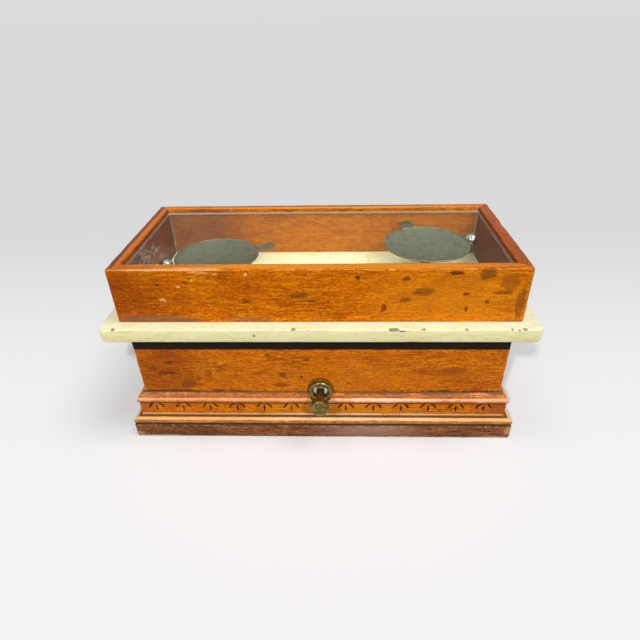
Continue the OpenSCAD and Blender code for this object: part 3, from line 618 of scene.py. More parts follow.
def cover_section():
    tall, lip = cover_top - cover_foot, 0.02 * MM
    sill, groove = glass_low.z - cover_foot - lip, glass_high.z - cover_foot + lip
    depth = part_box("glass")[1].y - (cover_d / 2 - cover_t) + 0.3 * MM
    # The foot and the glass groove are marked as recesses, darkened as dirt and as painted shade
    faces = [Point(0, 0.5 * MM, recess=1.0)]
    faces += [Point(0, 5 * MM, recess=0.35), Point(0, 12 * MM), Point(0, tall / 2),
              Point(0, tall - 4 * MM), Point(0, tall - COVER_EDGE - 0.7 * MM, bite=0.2 * MM)]
    edge = arc((-COVER_EDGE, tall - COVER_EDGE), COVER_EDGE, 0, 90, 7, bite=0.4 * MM)
    for point, mark in zip(edge, (0.0, 0.3, 0.9, 1.0, 0.55, 0.1, 0.0)):
        point.marks["arris"] = mark
    faces += edge
    faces += [Point(-COVER_EDGE - 0.7 * MM, tall, bite=0.1 * MM), Point(-cover_t / 2, tall),
              Point(-cover_t + COVER_EDGE + 0.5 * MM, tall)]
    faces += arc((-cover_t + 0.8 * MM, tall - 0.8 * MM), 0.8 * MM, 90, 180, 5, arris=0.55, bite=0.12 * MM)
    faces += [Point(-cover_t, tall - 2 * MM, recess=0.4), Point(-cover_t, groove, recess=1.0)]
    faces += [Point(-cover_t + depth, groove), Point(-cover_t + depth, sill)]
    faces += [Point(-cover_t, sill, recess=1.0, inside=1.0), Point(-cover_t, sill - 3 * MM, inside=1.0)]
    faces += [Point(-cover_t, 6 * MM, inside=1.0), Point(-cover_t, 0.4 * MM, recess=1.0, inside=1.0)]
    faces += [Point(-cover_t + 0.4 * MM, 0), Point(-0.5 * MM, 0)]
    return faces


SPOT_DEPTH = 4


def face_spots(face, rows):
    """Spots on a board's front: a row is (x, z, half width, half height, colour, share), in millimetres."""
    return [((x, face, z), (wide, SPOT_DEPTH, tall), tint, share) for x, z, wide, tall, tint, share in rows]


def make_cover():
    half_w, half_d = cover_w / 2 * PER_MM, cover_d / 2 * PER_MM
    foot, top = cover_foot * PER_MM, cover_top * PER_MM
    front = face_spots(-half_d, [
        (112, foot + 20, 95, 40, GOLD, 0.5),
        (-150, foot + 20, 66, 44, UMBER, 0.75),
        (-60, foot + 30, 30, 16, UMBER, 0.3),
        (125, top - 4, 8.0, 5.5, srgb(96, 62, 14), 0.8),
        (110.9, foot + 25, 3.2, 2.0, DARK_SPOT, 0.9),
        (112.7, foot + 12, 1.8, 2.8, DARK_SPOT, 0.8),
        (127.5, foot + 18, 2.0, 2.0, DARK_SPOT, 0.8),
        (50, foot + 13, 2.4, 4.5, DARK_SPOT, 0.75),
        (66, foot + 20, 5.0, 2.4, srgb(120, 56, 8), 0.8),
        (80, foot + 27, 8.0, 4.0, srgb(122, 62, 8), 0.8),
        (30, top - 7, 2.6, 2.2, DARK_SPOT, 0.85),
        (66, top - 8, 3.4, 2.4, srgb(70, 30, 6), 0.8),
        (102, top - 3.5, 6.0, 2.0, srgb(64, 28, 8), 0.9),
        (142, foot + 34, 9.0, 9.0, srgb(150, 72, 10), 0.7),
        (138, foot + 26, 8.0, 2.2, srgb(104, 46, 6), 0.7),
        (-14, foot + 24, 9.0, 3.0, srgb(112, 62, 10), 0.7),
        (-5, foot + 19, 3.4, 1.2, DARK_SPOT, 0.7),
        (-54.9, foot + 19, 4.4, 2.4, srgb(78, 40, 8), 0.75),
        (-148, foot + 3, 9.0, 5, srgb(150, 92, 58), 0.6),
        (-122, foot + 2, 34.0, 5.2, srgb(126, 92, 66), 0.75),
        (-55, foot + 2, 22.0, 3.6, srgb(150, 100, 62), 0.6),
        (-118.6, foot + 20.5, 3.4, 1.7, BARE_WOOD, 0.75),
        (-104.9, foot + 31.7, 2.0, 1.2, BARE_WOOD, 0.85),
        (-99, foot + 35, 3.0, 1.8, srgb(74, 30, 6), 0.75),
        (-120.6, foot + 33.5, 2.4, 1.7, DARK_SPOT, 0.75),
        (-94, foot + 37, 1.0, 1.6, BARE_WOOD, 0.75),
        (-53, top - 4, 1.5, 1.3, srgb(252, 214, 170), 0.95),
        (-76, top - 4, 2.4, 0.8, BARE_WOOD, 0.7),
        (-110, top - 0.3, 46, 0.9, srgb(252, 196, 130), 0.6),
        (-88, top - 2.4, 8, 1.4, srgb(240, 168, 100), 0.8),
        (-144, foot + 9, 3.0, 2.4, srgb(190, 112, 62), 0.6),
        (152, foot + 18, 4.0, 20.0, srgb(104, 50, 18), 0.65),
    ])
    # Painted light: the top face is painted a lighter gold than the front, as lit from above; it lies over
    # the broad stains and under the small spots
    front.insert(3, ((0, -half_d + cover_t * PER_MM / 2, top), (170, 4.6, 0.5), GOLD, 0.75))
    corner_x, corner_y = half_w - cover_t * PER_MM, half_d - cover_t * PER_MM
    grey = srgb(170, 152, 134)
    back = [((-116, corner_y, foot + 26), (52, 3, 40), srgb(104, 56, 42), 0.75),
            ((0, half_d - 3.2, top), (170, 3.0, 0.6), srgb(124, 66, 14), 0.6),
            # Painted highlight along the inner half of the back rail's top
            ((0, half_d - 7.6, top), (170, 2.6, 0.6), srgb(248, 172, 70), 0.7),
            ((-corner_x + 0.4, corner_y, foot + 20), (1.3, 2.0, 40), grey, 0.7),
            ((corner_x - 0.4, corner_y, foot + 20), (1.3, 2.0, 40), grey, 0.7)]
    left = [((-half_w + 2.4, 0, top), (3.2, 90, 0.5), srgb(90, 44, 12), 0.8),
            # Painted highlight along the inner half of the left rail's top
            ((-half_w + 6.6, 0, top), (2.6, 90, 0.5), srgb(222, 128, 24), 0.7),
            ((-corner_x, corner_y - 0.4, foot + 20), (2.0, 1.3, 40), grey, 0.7)]
    right = [((half_w - 3.4, -34, top), (2.6, 3.4, 4), srgb(60, 24, 8), 0.85),
             ((half_w - 5, 0, top), (5, 90, 0.5), srgb(150, 62, 14), 0.5),
             ((corner_x, corner_y - 0.4, foot + 20), (2.0, 1.3, 40), grey, 0.7)]
    # The inner faces of the boards are tinted darker: darkened varnish, and painted shade inside the cover
    boards = {
        FRONT: ("cover_front", ORANGE, "X", (0, 0, 0), front, None),
        BACK: ("cover_back", ORANGE, "X", (210, 90, 40), back, (srgb(140, 84, 30), 0.5)),
        LEFT: ("cover_left", RUSSET, "Y", (75, 0, 130), left, (srgb(74, 30, 8), 0.72)),
        RIGHT: ("cover_right", RUSSET, "Y", (15, 60, 190), right, (srgb(64, 32, 18), 0.76)),
    }
    for side, (node, wood, along, shift, spots, inside) in boards.items():
        material = wood_material(node + "_varnish", wood, along, shift, spots, inside=inside, worn_and_sheen=0.16,
                                 grime_and_shade=0.12, gloss=0.08, soil_and_shade=srgb(128, 84, 56), bare_and_sheen=srgb(244, 186, 124))
        mitred_frame(node + "_board", [side], (cover_w, cover_d), cover_foot, cover_section(), material,
                     "cover", "varnished_wood", [node], corner=COVER_CORNER)


make_cover()


# Case: walls, frieze and mouldings

def wall_section(low, high, arrises):
    """Plan of a wall as (x, y) points, with its chosen corners rounded by hand and time."""
    radius = 1.2 * MM
    corners = [(low.x, low.y, 180), (high.x, low.y, 270), (high.x, high.y, 0), (low.x, high.y, 90)]
    points = []
    for index, (x, y, start) in enumerate(corners):
        if index not in arrises:
            points.append((x, y, 0.0))
            continue
        centre = (x + radius * (1 if x == low.x else -1), y + radius * (1 if y == low.y else -1))
        for i in range(6):
            angle = math.radians(start + 90 * i / 5)
            points.append((centre[0] + radius * math.cos(angle), centre[1] + radius * math.sin(angle), 1.0))
    spread = []
    for (x, y, mark), (next_x, next_y, _) in zip(points, points[1:] + points[:1]):
        spread.append((x, y, mark))
        gap = math.hypot(next_x - x, next_y - y)
        if gap > 6 * MM:
            for away in (1.5 * MM, gap / 2, gap - 1.5 * MM):
                share = away / gap
                spread.append((blend_to(x, next_x, share), blend_to(y, next_y, share), 0.0))
    return spread


def make_wall(node, arrises, material):
    low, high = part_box(node)
    bm = bmesh.new()
    layers = mark_layers(bm)
    middle = (low + high) / 2
    crown_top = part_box("crown_moulding")[1].z
    rings = []
    levels = [low.z, crown_top - 1 * MM, crown_top + 0.3 * MM, crown_top + 2.5 * MM]
    levels += [blend_to(levels[-1], high.z, i / 24) for i in range(1, 25)]
    for z in levels:
        ring = []
        for x, y, mark in wall_section(low, high, arrises):
            spot = Vector((x, y, z))
            if mark:
                bite = 0.5 * MM * max(0.0, 0.3 + ripple(spot, 8 * MM, 2.0))
                spot += (Vector((middle.x, middle.y, z)) - spot).normalized() * bite
            vertex = bm.verts.new(spot)
            vertex[layers["arris"]] = mark
            # Where the wall meets the crown it is marked as a recess, darkened as dirt and as painted shade
            vertex[layers["recess"]] = 1.0 - smooth_step(z, crown_top, crown_top + 2.5 * MM)
            ring.append(vertex)
        rings.append(ring)
    skin(bm, rings)
    return finish_mesh(node + "_board", bm, material, "root", replaces=[node])


def drill(radius, y_from, y_to):
    """A round cutter along Y on the shaft's axis."""
    bm = bmesh.new()
    to_frame = Matrix.Translation((0, y_to, shaft_z)) @ Matrix.Rotation(math.pi / 2, 4, "X")
    lathe_rings(bm, [(0, 0), (radius, 0), (radius, y_to - y_from), (0, y_to - y_from)], to_frame, 64)
    return bm


# The height in millimetres above which the walls are painted near-black: a painted shadow under the overhang
# of the top plate
PLATE_SHADOW_Z = 88.6


def make_walls():
    front_y = front_wall_low.y * PER_MM
    stains = face_spots(front_y, [
        (-132, 70, 48.0, 44.0, srgb(134, 48, 0), 0.7),
        (30, 60, 120.0, 40.0, srgb(222, 126, 20), 0.35),
        (-128, 75, 4.0, 2.0, DARK_SPOT, 0.7),
        (-131, 64, 10.0, 1.6, srgb(84, 34, 6), 0.8),
        (-143, 69, 4.0, 2.4, srgb(92, 36, 6), 0.6),
        (-115, 52, 9.0, 6.0, srgb(116, 48, 6), 0.6),
        (-96, 64, 4.0, 4.0, srgb(126, 60, 14), 0.6),
        (-11.5, 78, 3.6, 1.4, srgb(70, 28, 6), 0.85),
        (5.2, 79, 3.0, 2.2, srgb(130, 56, 8), 0.7),
        (-44, 82, 2.0, 3.4, srgb(122, 54, 8), 0.7),
        (-32, 62, 4.0, 3.0, srgb(110, 46, 8), 0.75),
        (-16, 60, 1.6, 1.4, DARK_SPOT, 0.8),
        (-34, 51, 9.0, 2.4, srgb(104, 44, 8), 0.7),
        (-84, 74, 3.0, 1.6, srgb(226, 160, 84), 0.6),
        (126, 60, 34.0, 16.0, srgb(168, 74, 14), 0.5),
        (100, 66, 30.0, 5.0, srgb(150, 70, 12), 0.5),
        (24, 53, 2.0, 1.8, DARK_SPOT, 0.7),
    ])
    side_x = front_wall_high.x * PER_MM
    ends = [((side * side_x, 0, 60), (0.8, 90, 70), RUSSET["mid"], 0.85) for side in (-1, 1)]
    front = make_wall("front_wall", (0, 1), wood_material(
        "front_wall_varnish", ORANGE, "X", (40, 11, 300), stains + ends, worn_and_sheen=0.1, grime_and_shade=0.7, shadow_band=PLATE_SHADOW_Z))
    cut_away(front, drill(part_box("shaft_bush")[1].x, front_wall_low.y - MM, front_wall_high.y + MM))
    make_wall("back_wall", (2, 3), wood_material(
        "back_wall_varnish", ORANGE, "X", (140, 51, 410), ends, worn_and_sheen=0.1, grime_and_shade=0.7, shadow_band=PLATE_SHADOW_Z))
    make_wall("left_wall", (), wood_material(
        "left_wall_varnish", RUSSET, "Y", (44, 5, 510), worn_and_sheen=0.1, grime_and_shade=0.7, shadow_band=PLATE_SHADOW_Z))
    make_wall("right_wall", (), wood_material(
        "right_wall_varnish", RUSSET, "Y", (85, 31, 610), worn_and_sheen=0.1, grime_and_shade=0.7, shadow_band=PLATE_SHADOW_Z))


make_walls()


def bead_section():
    low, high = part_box("bead_moulding")
    tall = high.z - low.z
    reach = (high.x - low.x - case_w) / 2
    radius = tall / 2
    points = [Point(0, 0.02 * MM), Point(reach - radius - 0.5 * MM, 0.02 * MM, recess=1.0)]
    for point in arc((reach - radius, radius), radius - 0.02 * MM, -80, 90, 16):
        share = point.up / tall
        # Painted shade: the lower part of the bead is marked as a recess and darkened; painted highlight:
        # its top is marked as arris and made paler
        point.marks["recess"] = 1.0 - smooth_step(share, 0.12, 0.28)
        point.marks["arris"] = smooth_step(share, 0.7, 0.9)
        point.bite = 0.1 * MM
        points.append(point)
    # The flat top behind the bead is marked as a recess, darkened as dust and as painted shade
    points += [Point(reach - radius - 0.4 * MM, tall, recess=1.0), Point(4.6 * MM, tall, recess=1.0),
               Point(0, tall)]
    return points


def crown_section():
    low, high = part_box("crown_moulding")
    tall = high.z - low.z
    reach = (high.x - low.x - case_w) / 2
    nose, nose_up = 3.1 * MM, 2.3 * MM
    start = math.degrees(math.asin(-nose_up / nose))
    points = [Point(0, 0), Point(reach - nose, 0, recess=1.0)]
    for point in arc((reach - nose, nose_up), nose, start, 90, 16):
        rise = point.up / (nose_up + nose)
        # Painted shade: the underside of the nose is marked as a recess and darkened
        point.marks["recess"] = 1.0 - smooth_step(rise, 0.02, 0.08)
        # Painted highlight: the lower front and the upper part of the nose are marked as arris and made
        # paler, along with abraded varnish
        point.marks["arris"] = (0.5 * smooth_step(rise, 0.08, 0.2) + 0.5 * smooth_step(rise, 0.45, 0.62)) * (
            1 - smooth_step(rise, 0.88, 1.0))
        point.bite = 0.14 * MM
        points.append(point)
    nose_top = nose_up + nose
    # The cove above the nose and the fillet at the wall are marked as recesses and darkened: dust, and
    # painted shade
    points += [Point(3.1 * MM, nose_top + 0.05 * MM, recess=0.5), Point(2.8 * MM, nose_top + 0.5 * MM),
               Point(2.6 * MM, tall - 2.3 * MM), Point(2.2 * MM, tall - 1.5 * MM, recess=0.25),
               Point(1.3 * MM, tall - 0.35 * MM, recess=0.5), Point(0.6 * MM, tall - 0.1 * MM, recess=1.0),
               Point(0, tall, recess=1.0)]
    return points


def frieze_section():
    low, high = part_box("right_frieze")
    tall, thick = high.z - low.z, high.x - low.x
    # Painted highlight: the foot is marked as arris and made paler; painted shadow: the top, under the
    # crown, is marked as a recess and darkened
    return [Point(0, 0), Point(thick, 0, arris=1.0), Point(thick, 0.9 * MM, arris=1.0),
            Point(thick, 1.7 * MM, arris=0.9), Point(thick, 2.6 * MM), Point(thick, tall / 2),
            Point(thick, tall - 1.5 * MM), Point(thick, tall - 0.9 * MM, recess=1.0),
            Point(thick, tall, recess=1.0), Point(0, tall)]


def stroke(bm, shade, start, end, bow, width, depth):
    """One tapered gouge on the face y = 0, from start to end, with its middle bowed by bow."""
    steps, rings = 9, []
    along = (end - start).normalized()
    across = Vector((-along.z, 0, along.x))
    for i in range(steps):
        share = i / (steps - 1)
        swell = max(0.06, math.sin(math.pi * share) ** 0.6)
        spot = start.lerp(end, share) + across * bow * math.sin(math.pi * share)
        half = width / 2 * swell
        ring = [spot - across * half * 1.6 + Vector((0, -depth * 0.6, 0)),
                spot + across * half * 1.6 + Vector((0, -depth * 0.6, 0)),
                spot + Vector((0, depth * swell, 0))]
        rings.append([bm.verts.new(p) for p in ring])
    for vertex in (v for ring in rings for v in ring):
        vertex[shade] = 1.0
    skin(bm, rings)


def make_mouldings():
    case = (case_w, case_d)
    case_y = -case_d / 2 * PER_MM
    bead_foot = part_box("bead_moulding")[0].z
    # Painted highlight along the bead's top, with a whiter spot in the middle
    mitred_frame("bead_moulding_run", range(4), case, bead_foot, bead_section(),
                 wood_material("bead_varnish", HONEY, "X", (12, 80, 700), worn_and_sheen=0.6, grime_and_shade=1.3, rough=0.26,
                               gloss=0.4, patch=24.0, soil_and_shade=srgb(60, 52, 38), bare_and_sheen=srgb(250, 190, 112),
                               highlight_spot=((40, case_y, bead_foot * PER_MM + 4), (130, 20, 20),
                                      srgb(255, 236, 204))),
                 "root", "varnished_wood", ["bead_moulding"])
    crown_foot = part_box("crown_moulding")[0].z
    # Painted highlight along the crown's nose, with a whiter spot in the middle
    crown = mitred_frame("crown_moulding_run", range(4), case, crown_foot, crown_section(),
                         wood_material("crown_varnish", ORANGE, "X", (72, 30, 820), worn_and_sheen=0.55, grime_and_shade=0.9,
                                       rough=0.28, gloss=0.4, patch=24.0, soil_and_shade=srgb(84, 66, 46),
                                       bare_and_sheen=srgb(236, 176, 132),
                                       highlight_spot=((60, case_y, crown_foot * PER_MM + 4), (100, 20, 20),
                                              srgb(252, 232, 212))),
                         "root", "varnished_wood", ["crown_moulding"])
    rosette_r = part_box("rosette")[1].x
    cut_away(crown, drill(rosette_r + 0.3 * MM, front_wall_low.y - 20 * MM, front_wall_low.y + MM))
    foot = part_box("front_frieze")[0].z
    reach_x, face_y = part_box("front_frieze")[1].x * PER_MM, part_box("front_frieze")[0].y * PER_MM
    high_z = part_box("front_frieze")[1].z * PER_MM
    ends = [((10, face_y, 28), (112, 3, 20), GOLD, 0.5),
            ((reach_x - 8, face_y, 28), (26, 3, 20), srgb(150, 74, 44), 0.6),
            ((-reach_x, face_y, 28), (16, 3, 20), srgb(160, 84, 46), 0.6)]
    boards = {FRONT: ("front_frieze", ORANGE, "X", (9, 140, 20)),
              BACK: ("back_frieze", ORANGE, "X", (99, 150, 60)),
              LEFT: ("left_frieze", RUSSET, "Y", (9, 240, 20)),
              RIGHT: ("right_frieze", RUSSET, "Y", (9, 340, 20))}
    for side, (node, wood, along, shift) in boards.items():
        strokes = (MARK_PITCH * PER_MM, MARK_SHIFT * PER_MM, high_z - 1.2) if side == FRONT else None
        # Painted highlight along the frieze's foot, whiter in the middle
        material = wood_material(
            node + "_varnish", wood, along, shift, ends, worn_and_sheen=0.5, grime_and_shade=1.4, patch=26.0, strokes=strokes,
            soil_and_shade=srgb(58, 24, 6), bare_and_sheen=srgb(250, 186, 130),
            highlight_spot=((30, face_y, 21), (110, 6, 10), srgb(254, 232, 200)))
        board = mitred_frame(node + "_board", [side], case, foot, frieze_section(), material, "root",
                             "varnished_wood", [node], pitch=6 * MM)
        if side == FRONT:
            carve_marks(board)


def carve_marks(board):
    """Crow's-foot marks: an upright stroke and two that bow outwards, none of them quite alike."""
    low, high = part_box("front_frieze")
    bm = bmesh.new()
    shade = bm.verts.layers.float.new("recess")
    for i in range(MARK_COUNT):
        middle = (i - (MARK_COUNT - 1) / 2) * MARK_PITCH - MARK_SHIFT
        lean = 0.8 * MM * noise.noise(Vector((i * 3.7, 0.5, 0)))
        top = Vector((middle + lean, low.y, high.z - 1.2 * MM))
        stroke(bm, shade, top + Vector((0, 0, -1.4 * MM)), top + Vector((lean, 0, -MARK_TALL + 1.2 * MM)),
               0.0, 1.5 * MM, 1.2 * MM)
        for side in (-1, 1):
            drop = 4.9 * MM + 0.9 * MM * noise.noise(Vector((i * 5.1, side * 2.0, 3)))
            root = top + Vector((side * MARK_ROOT, 0, 0))
            tip = top + Vector((side * MARK_SPREAD, 0, -drop))
            stroke(bm, shade, root, tip, side * 0.5 * MM, 1.6 * MM, 1.2 * MM)
    cut_away(board, bm)


make_mouldings()


# Base board and top plate: slabs with softened, knocked edges

def rounded_outline(half_x, half_y, corner, pitch):
    """Round a rectangle with round corners: each point, and the outward direction there."""
    points = []
    for turn in range(4):
        quarter = Matrix.Rotation(turn * math.pi / 2, 2)
        reach_x, reach_y = (half_x, half_y) if turn % 2 == 0 else (half_y, half_x)
        centre = Vector((reach_x - corner, -reach_y + corner))
        for i in range(7):
            angle = -math.pi / 2 + math.pi / 2 * i / 7
            out = Vector((math.cos(angle), math.sin(angle)))
            points.append((quarter @ (centre + out * corner), quarter @ out))
        rise = 2 * (reach_y - corner)
        steps = max(2, round(rise / pitch))
        for i in range(steps):
            spot = centre + Vector((corner, rise * i / steps))
            points.append((quarter @ spot, quarter @ Vector((1, 0))))
    return points


SLAB_PITCH = 2.0 * MM


def knocked_slab(name, node, corner, edge, bite, material, holes=(), seed=1.0, dirt_and_shade=0.0):
    """A slab with round corners and edges that are eaten back here and there. Holes are loops of (x, y),
    and the last share says how much of the top arris is marked as a recess, darkened as dirt and as
    painted shade."""
    low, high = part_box(node)
    middle, half = (low + high) / 2, (high - low) / 2
    bm = bmesh.new()
    layers = mark_layers(bm)
    levels = [(edge * (1 - math.cos(a)), edge * (1 - math.sin(a)), m) for a, m in
              ((math.radians(90 * (1 - i / 5)), math.sin(math.pi * i / 5)) for i in range(6))]
    tall = high.z - low.z
    ladder = [(inset, low.z + drop, mark) for inset, drop, mark in levels] + [(0.0, low.z + tall / 2, 0.0)]
    ladder += [(inset, high.z - drop, mark) for inset, drop, mark in levels]
    ladder.sort(key=lambda step: step[1])
    rings = []
    outline = rounded_outline(half.x, half.y, corner, SLAB_PITCH)
    for inset, z, mark in ladder:
        ring = []
        for spot, out in outline:
            place = Vector((middle.x + spot.x, middle.y + spot.y, z))
            eaten = 0.0
            if mark:
                chip = smooth_step(ripple(place, 15 * MM, seed), 0.3, 0.6)
                eaten = bite * mark * (0.25 + 0.35 * ripple(place, 5 * MM, seed + 3) + 2.0 * chip)
            shift = inset + max(0.0, eaten)
            vertex = bm.verts.new(place - Vector((out.x, out.y, 0)) * shift)
            # The top arris may be marked as a recess instead, darkened as dirt and as painted shade
            on_top = smooth_step(z, high.z - 0.6 * edge, high.z - 0.2 * edge) * dirt_and_shade
            vertex[layers["arris"]] = mark * (1 - on_top)
            vertex[layers["recess"]] = on_top
            vertex[layers["inside"]] = 1.0 if inset < 0.3 * edge else 0.0
            ring.append(vertex)
        rings.append(ring)
    skin(bm, rings, caps=False)
    shafts = []
    for hole in holes:
        shafts.append([[bm.verts.new((x, y, z)) for x, y in hole] for z in (low.z, high.z)])
        skin(bm, shafts[-1], caps=False)
    for index, ring in ((0, rings[0]), (1, rings[-1])):
        loops = [ring] + [shaft[index] for shaft in shafts]
        edges = []
        for loop in loops:
            edges += [bm.edges.get((a, b)) for a, b in zip(loop, loop[1:] + loop[:1])]
        bmesh.ops.triangle_fill(bm, use_beauty=True, use_dissolve=False, edges=edges)
    return finish_mesh(name, bm, material, "root", replaces=[node])


def circle_loop(x, y, radius):
    count = 40
    return [(x + radius * math.cos(2 * math.pi * i / count), y + radius * math.sin(2 * math.pi * i / count))
            for i in range(count)]


CREAM = tones((248, 248, 212), (243, 240, 190), (226, 216, 158))
CHIP = srgb(70, 82, 84)


def paint_material():
    """Old cream gloss paint: yellowed, brushed along the length, chipped to a dark undercoat."""
    made, sheet, shader = new_material("cream_paint")
    place = sheet.place_mm()
    brushed = sheet.noise_at(place, (0.05, 0.8, 0.8), 5.0, 0.65)
    cloud = sheet.noise_at(place, (0.03, 0.05, 0.05), 4.0, 0.6)
    colour = sheet.mix(sheet.step(cloud, 0.4, 0.75), CREAM["pale"], CREAM["mid"])
    colour = sheet.lay(colour, sheet.step(brushed, 0.46, 0.68), 0.6, CREAM["deep"])
    stain = sheet.noise_at(place, (0.22, 0.5, 0.5), 5.0, 0.7)
    colour = sheet.lay(colour, sheet.step(stain, 0.5, 0.68), 0.55, srgb(222, 200, 138))
    # The side faces are coloured yellower and darker than the top
    side_tint = sheet.times(sheet.attribute("inside"), 0.75)
    colour = sheet.mix(side_tint, colour, srgb(255, 246, 216), blend="MULTIPLY")
    dirt = sheet.mask(SPECKS, place, 9.0, 0.5, 0.35)
    colour = sheet.lay(colour, dirt, 0.6, srgb(150, 120, 70))
    scratch = sheet.mask(SCUFFS, place, 22.0, 0.005, 0.45)
    colour = sheet.lay(colour, scratch, 0.5, srgb(168, 140, 90))
    front, top = plate_low.y * PER_MM, plate_high.z * PER_MM
    chips = [((x, front + 0.4, top - drop), (reach, 3.0, tall), 0.9) for x, drop, reach, tall in
             ((-159, 0.2, 2.0, 0.9), (-19, 0.2, 2.6, 0.8), (57, 0.4, 5.0, 1.3), (64, 1.2, 3.4, 1.0),
              (80, 0.2, 2.2, 0.6), (113, 0.4, 1.8, 0.6), (147, 0.2, 1.2, 0.7), (152, 0.6, 1.3, 0.6),
              (156.5, 0.3, 2.0, 0.8), (-49.4, 5.2, 1.1, 1.9))]
    edge_x = plate_high.x * PER_MM
    chips += [((edge_x - 1.0, front + 4.0, top - 3.0), (1.2, 1.6, 2.8), 0.9),
              ((-edge_x + 1.8, front + 3.0, top - 6.5), (1.6, 1.8, 1.8), 0.9)]
    spots = None
    for centre, reach, share in chips:
        mask = sheet.times(sheet.mask(SPOT, place, centre, reach, 1.6, 0.3), share)
        spots = mask if spots is None else sheet.math("MAXIMUM", spots, mask)
    patch_mask = sheet.mask(EDGE_PATCHES, place, sheet.attribute("arris"), -0.24, 4.0)
    lost = sheet.math("MAXIMUM", spots, patch_mask)
    colour = sheet.mix(lost, colour, CHIP)
    sheet.feed(shader.inputs["Base Color"], colour)
    sheet.feed(shader.inputs["Roughness"], sheet.plus(0.38, sheet.times(lost, 0.4)))
    shader.inputs["Specular IOR Level"].default_value = 0.35
    height = sheet.minus(sheet.times(brushed, 0.6), lost)
    set_relief(sheet, shader, height, 0.12, 0.7)
    return made


def make_slabs():
    base_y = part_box("base_board")[0].y * PER_MM
    edge_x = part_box("base_board")[1].x * PER_MM
    stains = [((45, base_y, 8), (62, 6, 16), srgb(178, 138, 118), 0.75),
              ((-120, base_y, 6), (60, 6, 14), srgb(92, 50, 16), 0.5),
              ((edge_x - 1, base_y + 1, 9), (6, 6, 6), srgb(212, 158, 108), 0.75),
              ((edge_x - 14, base_y, 1), (22, 6, 2.4), srgb(206, 160, 120), 0.7),
              ((1 - edge_x, base_y + 1, 3), (7, 6, 5), srgb(206, 164, 118), 0.7),
              ((24 - edge_x, base_y, 1), (24, 6, 1.8), srgb(200, 170, 130), 0.7)]
    knocked_slab("base_board_slab", "base_board", 2.4 * MM, 1.3 * MM, 0.45 * MM,
                 wood_material("plinth_stain", PLINTH, "X", (33, 70, 900), stains, worn_and_sheen=0.5, grime_and_shade=1.4,
                               rough=0.42, bare_and_sheen=srgb(206, 166, 132), soil_and_shade=srgb(66, 58, 44), specks=0.2),
                 seed=2.0, dirt_and_shade=1.0)
    column_r, slot_x, slot_y, slot_at = 8 * MM, 8 * MM, 2.5 * MM, 27 * MM
    holes = [circle_loop((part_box(node)[0].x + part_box(node)[1].x) / 2, 0, column_r)
             for node in ("left_column", "right_column")]
    holes.append([(-slot_x, -slot_at - slot_y), (slot_x, -slot_at - slot_y), (slot_x, -slot_at + slot_y),
                  (-slot_x, -slot_at + slot_y)])
    knocked_slab("top_plate_slab", "top_plate", 5 * MM, 1.2 * MM, 0.18 * MM, paint_material(),
                 holes, seed=5.0)


make_slabs()


# Metals

def metal_material(name, bright, dull, dirt, rough=0.3, metallic=1.0, tarnish=0.5, size=6.0):
    """Metal with cloudy tarnish, fine scratches and dirt in small pits."""
    made, sheet, shader = new_material(name)
    place = sheet.place_mm()
    cloud = sheet.noise(sheet.vector("DIVIDE", place, (size,) * 3), 5.0, 0.62)
    fine = sheet.noise_at(place, 1.1, 4.0, 0.65)
    share = sheet.plus(sheet.times(cloud, 0.65), sheet.times(fine, 0.35))
    tarnished = sheet.step(share, 0.62 - 0.3 * tarnish, 0.72 - 0.2 * tarnish)
    bright, dull, dirt = srgb(*bright), srgb(*dull), srgb(*dirt)
    colour = sheet.mix(tarnished, bright, dull)
    pits = sheet.mask(SPECKS, place, 2.6, 0.32, 0.35)
    colour = sheet.lay(colour, pits, 0.55, dirt)
    scratch = sheet.mask(SCUFFS, place, 5.0, 0.012, 0.5)
    colour = sheet.lay(colour, scratch, 0.3, bright)
    sheet.feed(shader.inputs["Base Color"], colour)
    shader.inputs["Metallic"].default_value = metallic
    sheet.feed(shader.inputs["Roughness"], sheet.plus(rough, sheet.times(tarnished, 0.16)))
    set_relief(sheet, shader, sheet.plus(fine, sheet.times(cloud, 0.5)), 0.05, 0.5)
    return made


OLD_BRASS = metal_material("old_brass", (156, 134, 72), (98, 82, 38), (44, 36, 16), 0.32, 1.0, 0.7, 3.0)
BRASS = metal_material("lacquered_brass", (214, 184, 108), (164, 132, 62), (80, 60, 26), 0.3)
STEEL = metal_material("plain_steel", (190, 192, 194), (140, 142, 144), (60, 58, 54), 0.32)
IRON = metal_material("black_japan", (48, 49, 51), (28, 28, 30), (70, 52, 38), 0.4, 0.3, 0.5, 14.0)
NICKEL = metal_material("tarnished_nickel", (134, 132, 110), (116, 113, 91), (70, 66, 50), 0.36, 0.9,
                        0.5, 7.0)
BRIGHT_NICKEL = metal_material("bright_nickel", (186, 188, 182), (132, 136, 128), (84, 82, 74), 0.2,
                               1.0, 0.2, 5.0)


def make_rosette():
    """Turned brass ring round the shaft: a dark outer lip, a round dome, and a hole with a bright bush."""
    low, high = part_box("rosette")
    outer, tall = high.x, high.y - low.y
    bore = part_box("shaft_bush")[1].x + 0.2 * MM
    dome = (outer - bore) / 2 - 0.35 * MM
    crown = bore + dome + 0.1 * MM
    profile = [(bore, 0), (bore, tall - dome * 0.9)]
    profile += round_profile((crown, tall - dome), dome, 178, 8, 20)
    profile += [(outer - 0.5 * MM, 2.3 * MM), (outer - 0.1 * MM, 1.9 * MM), (outer, 1.5 * MM), (outer, 0)]
    bm = bmesh.new()
    to_frame = Matrix.Translation((0, high.y, shaft_z)) @ Matrix.Rotation(math.pi / 2, 4, "X")
    lathe_rings(bm, profile, to_frame)
    finish_mesh("rosette_ring", bm, OLD_BRASS, "root", replaces=["rosette"])


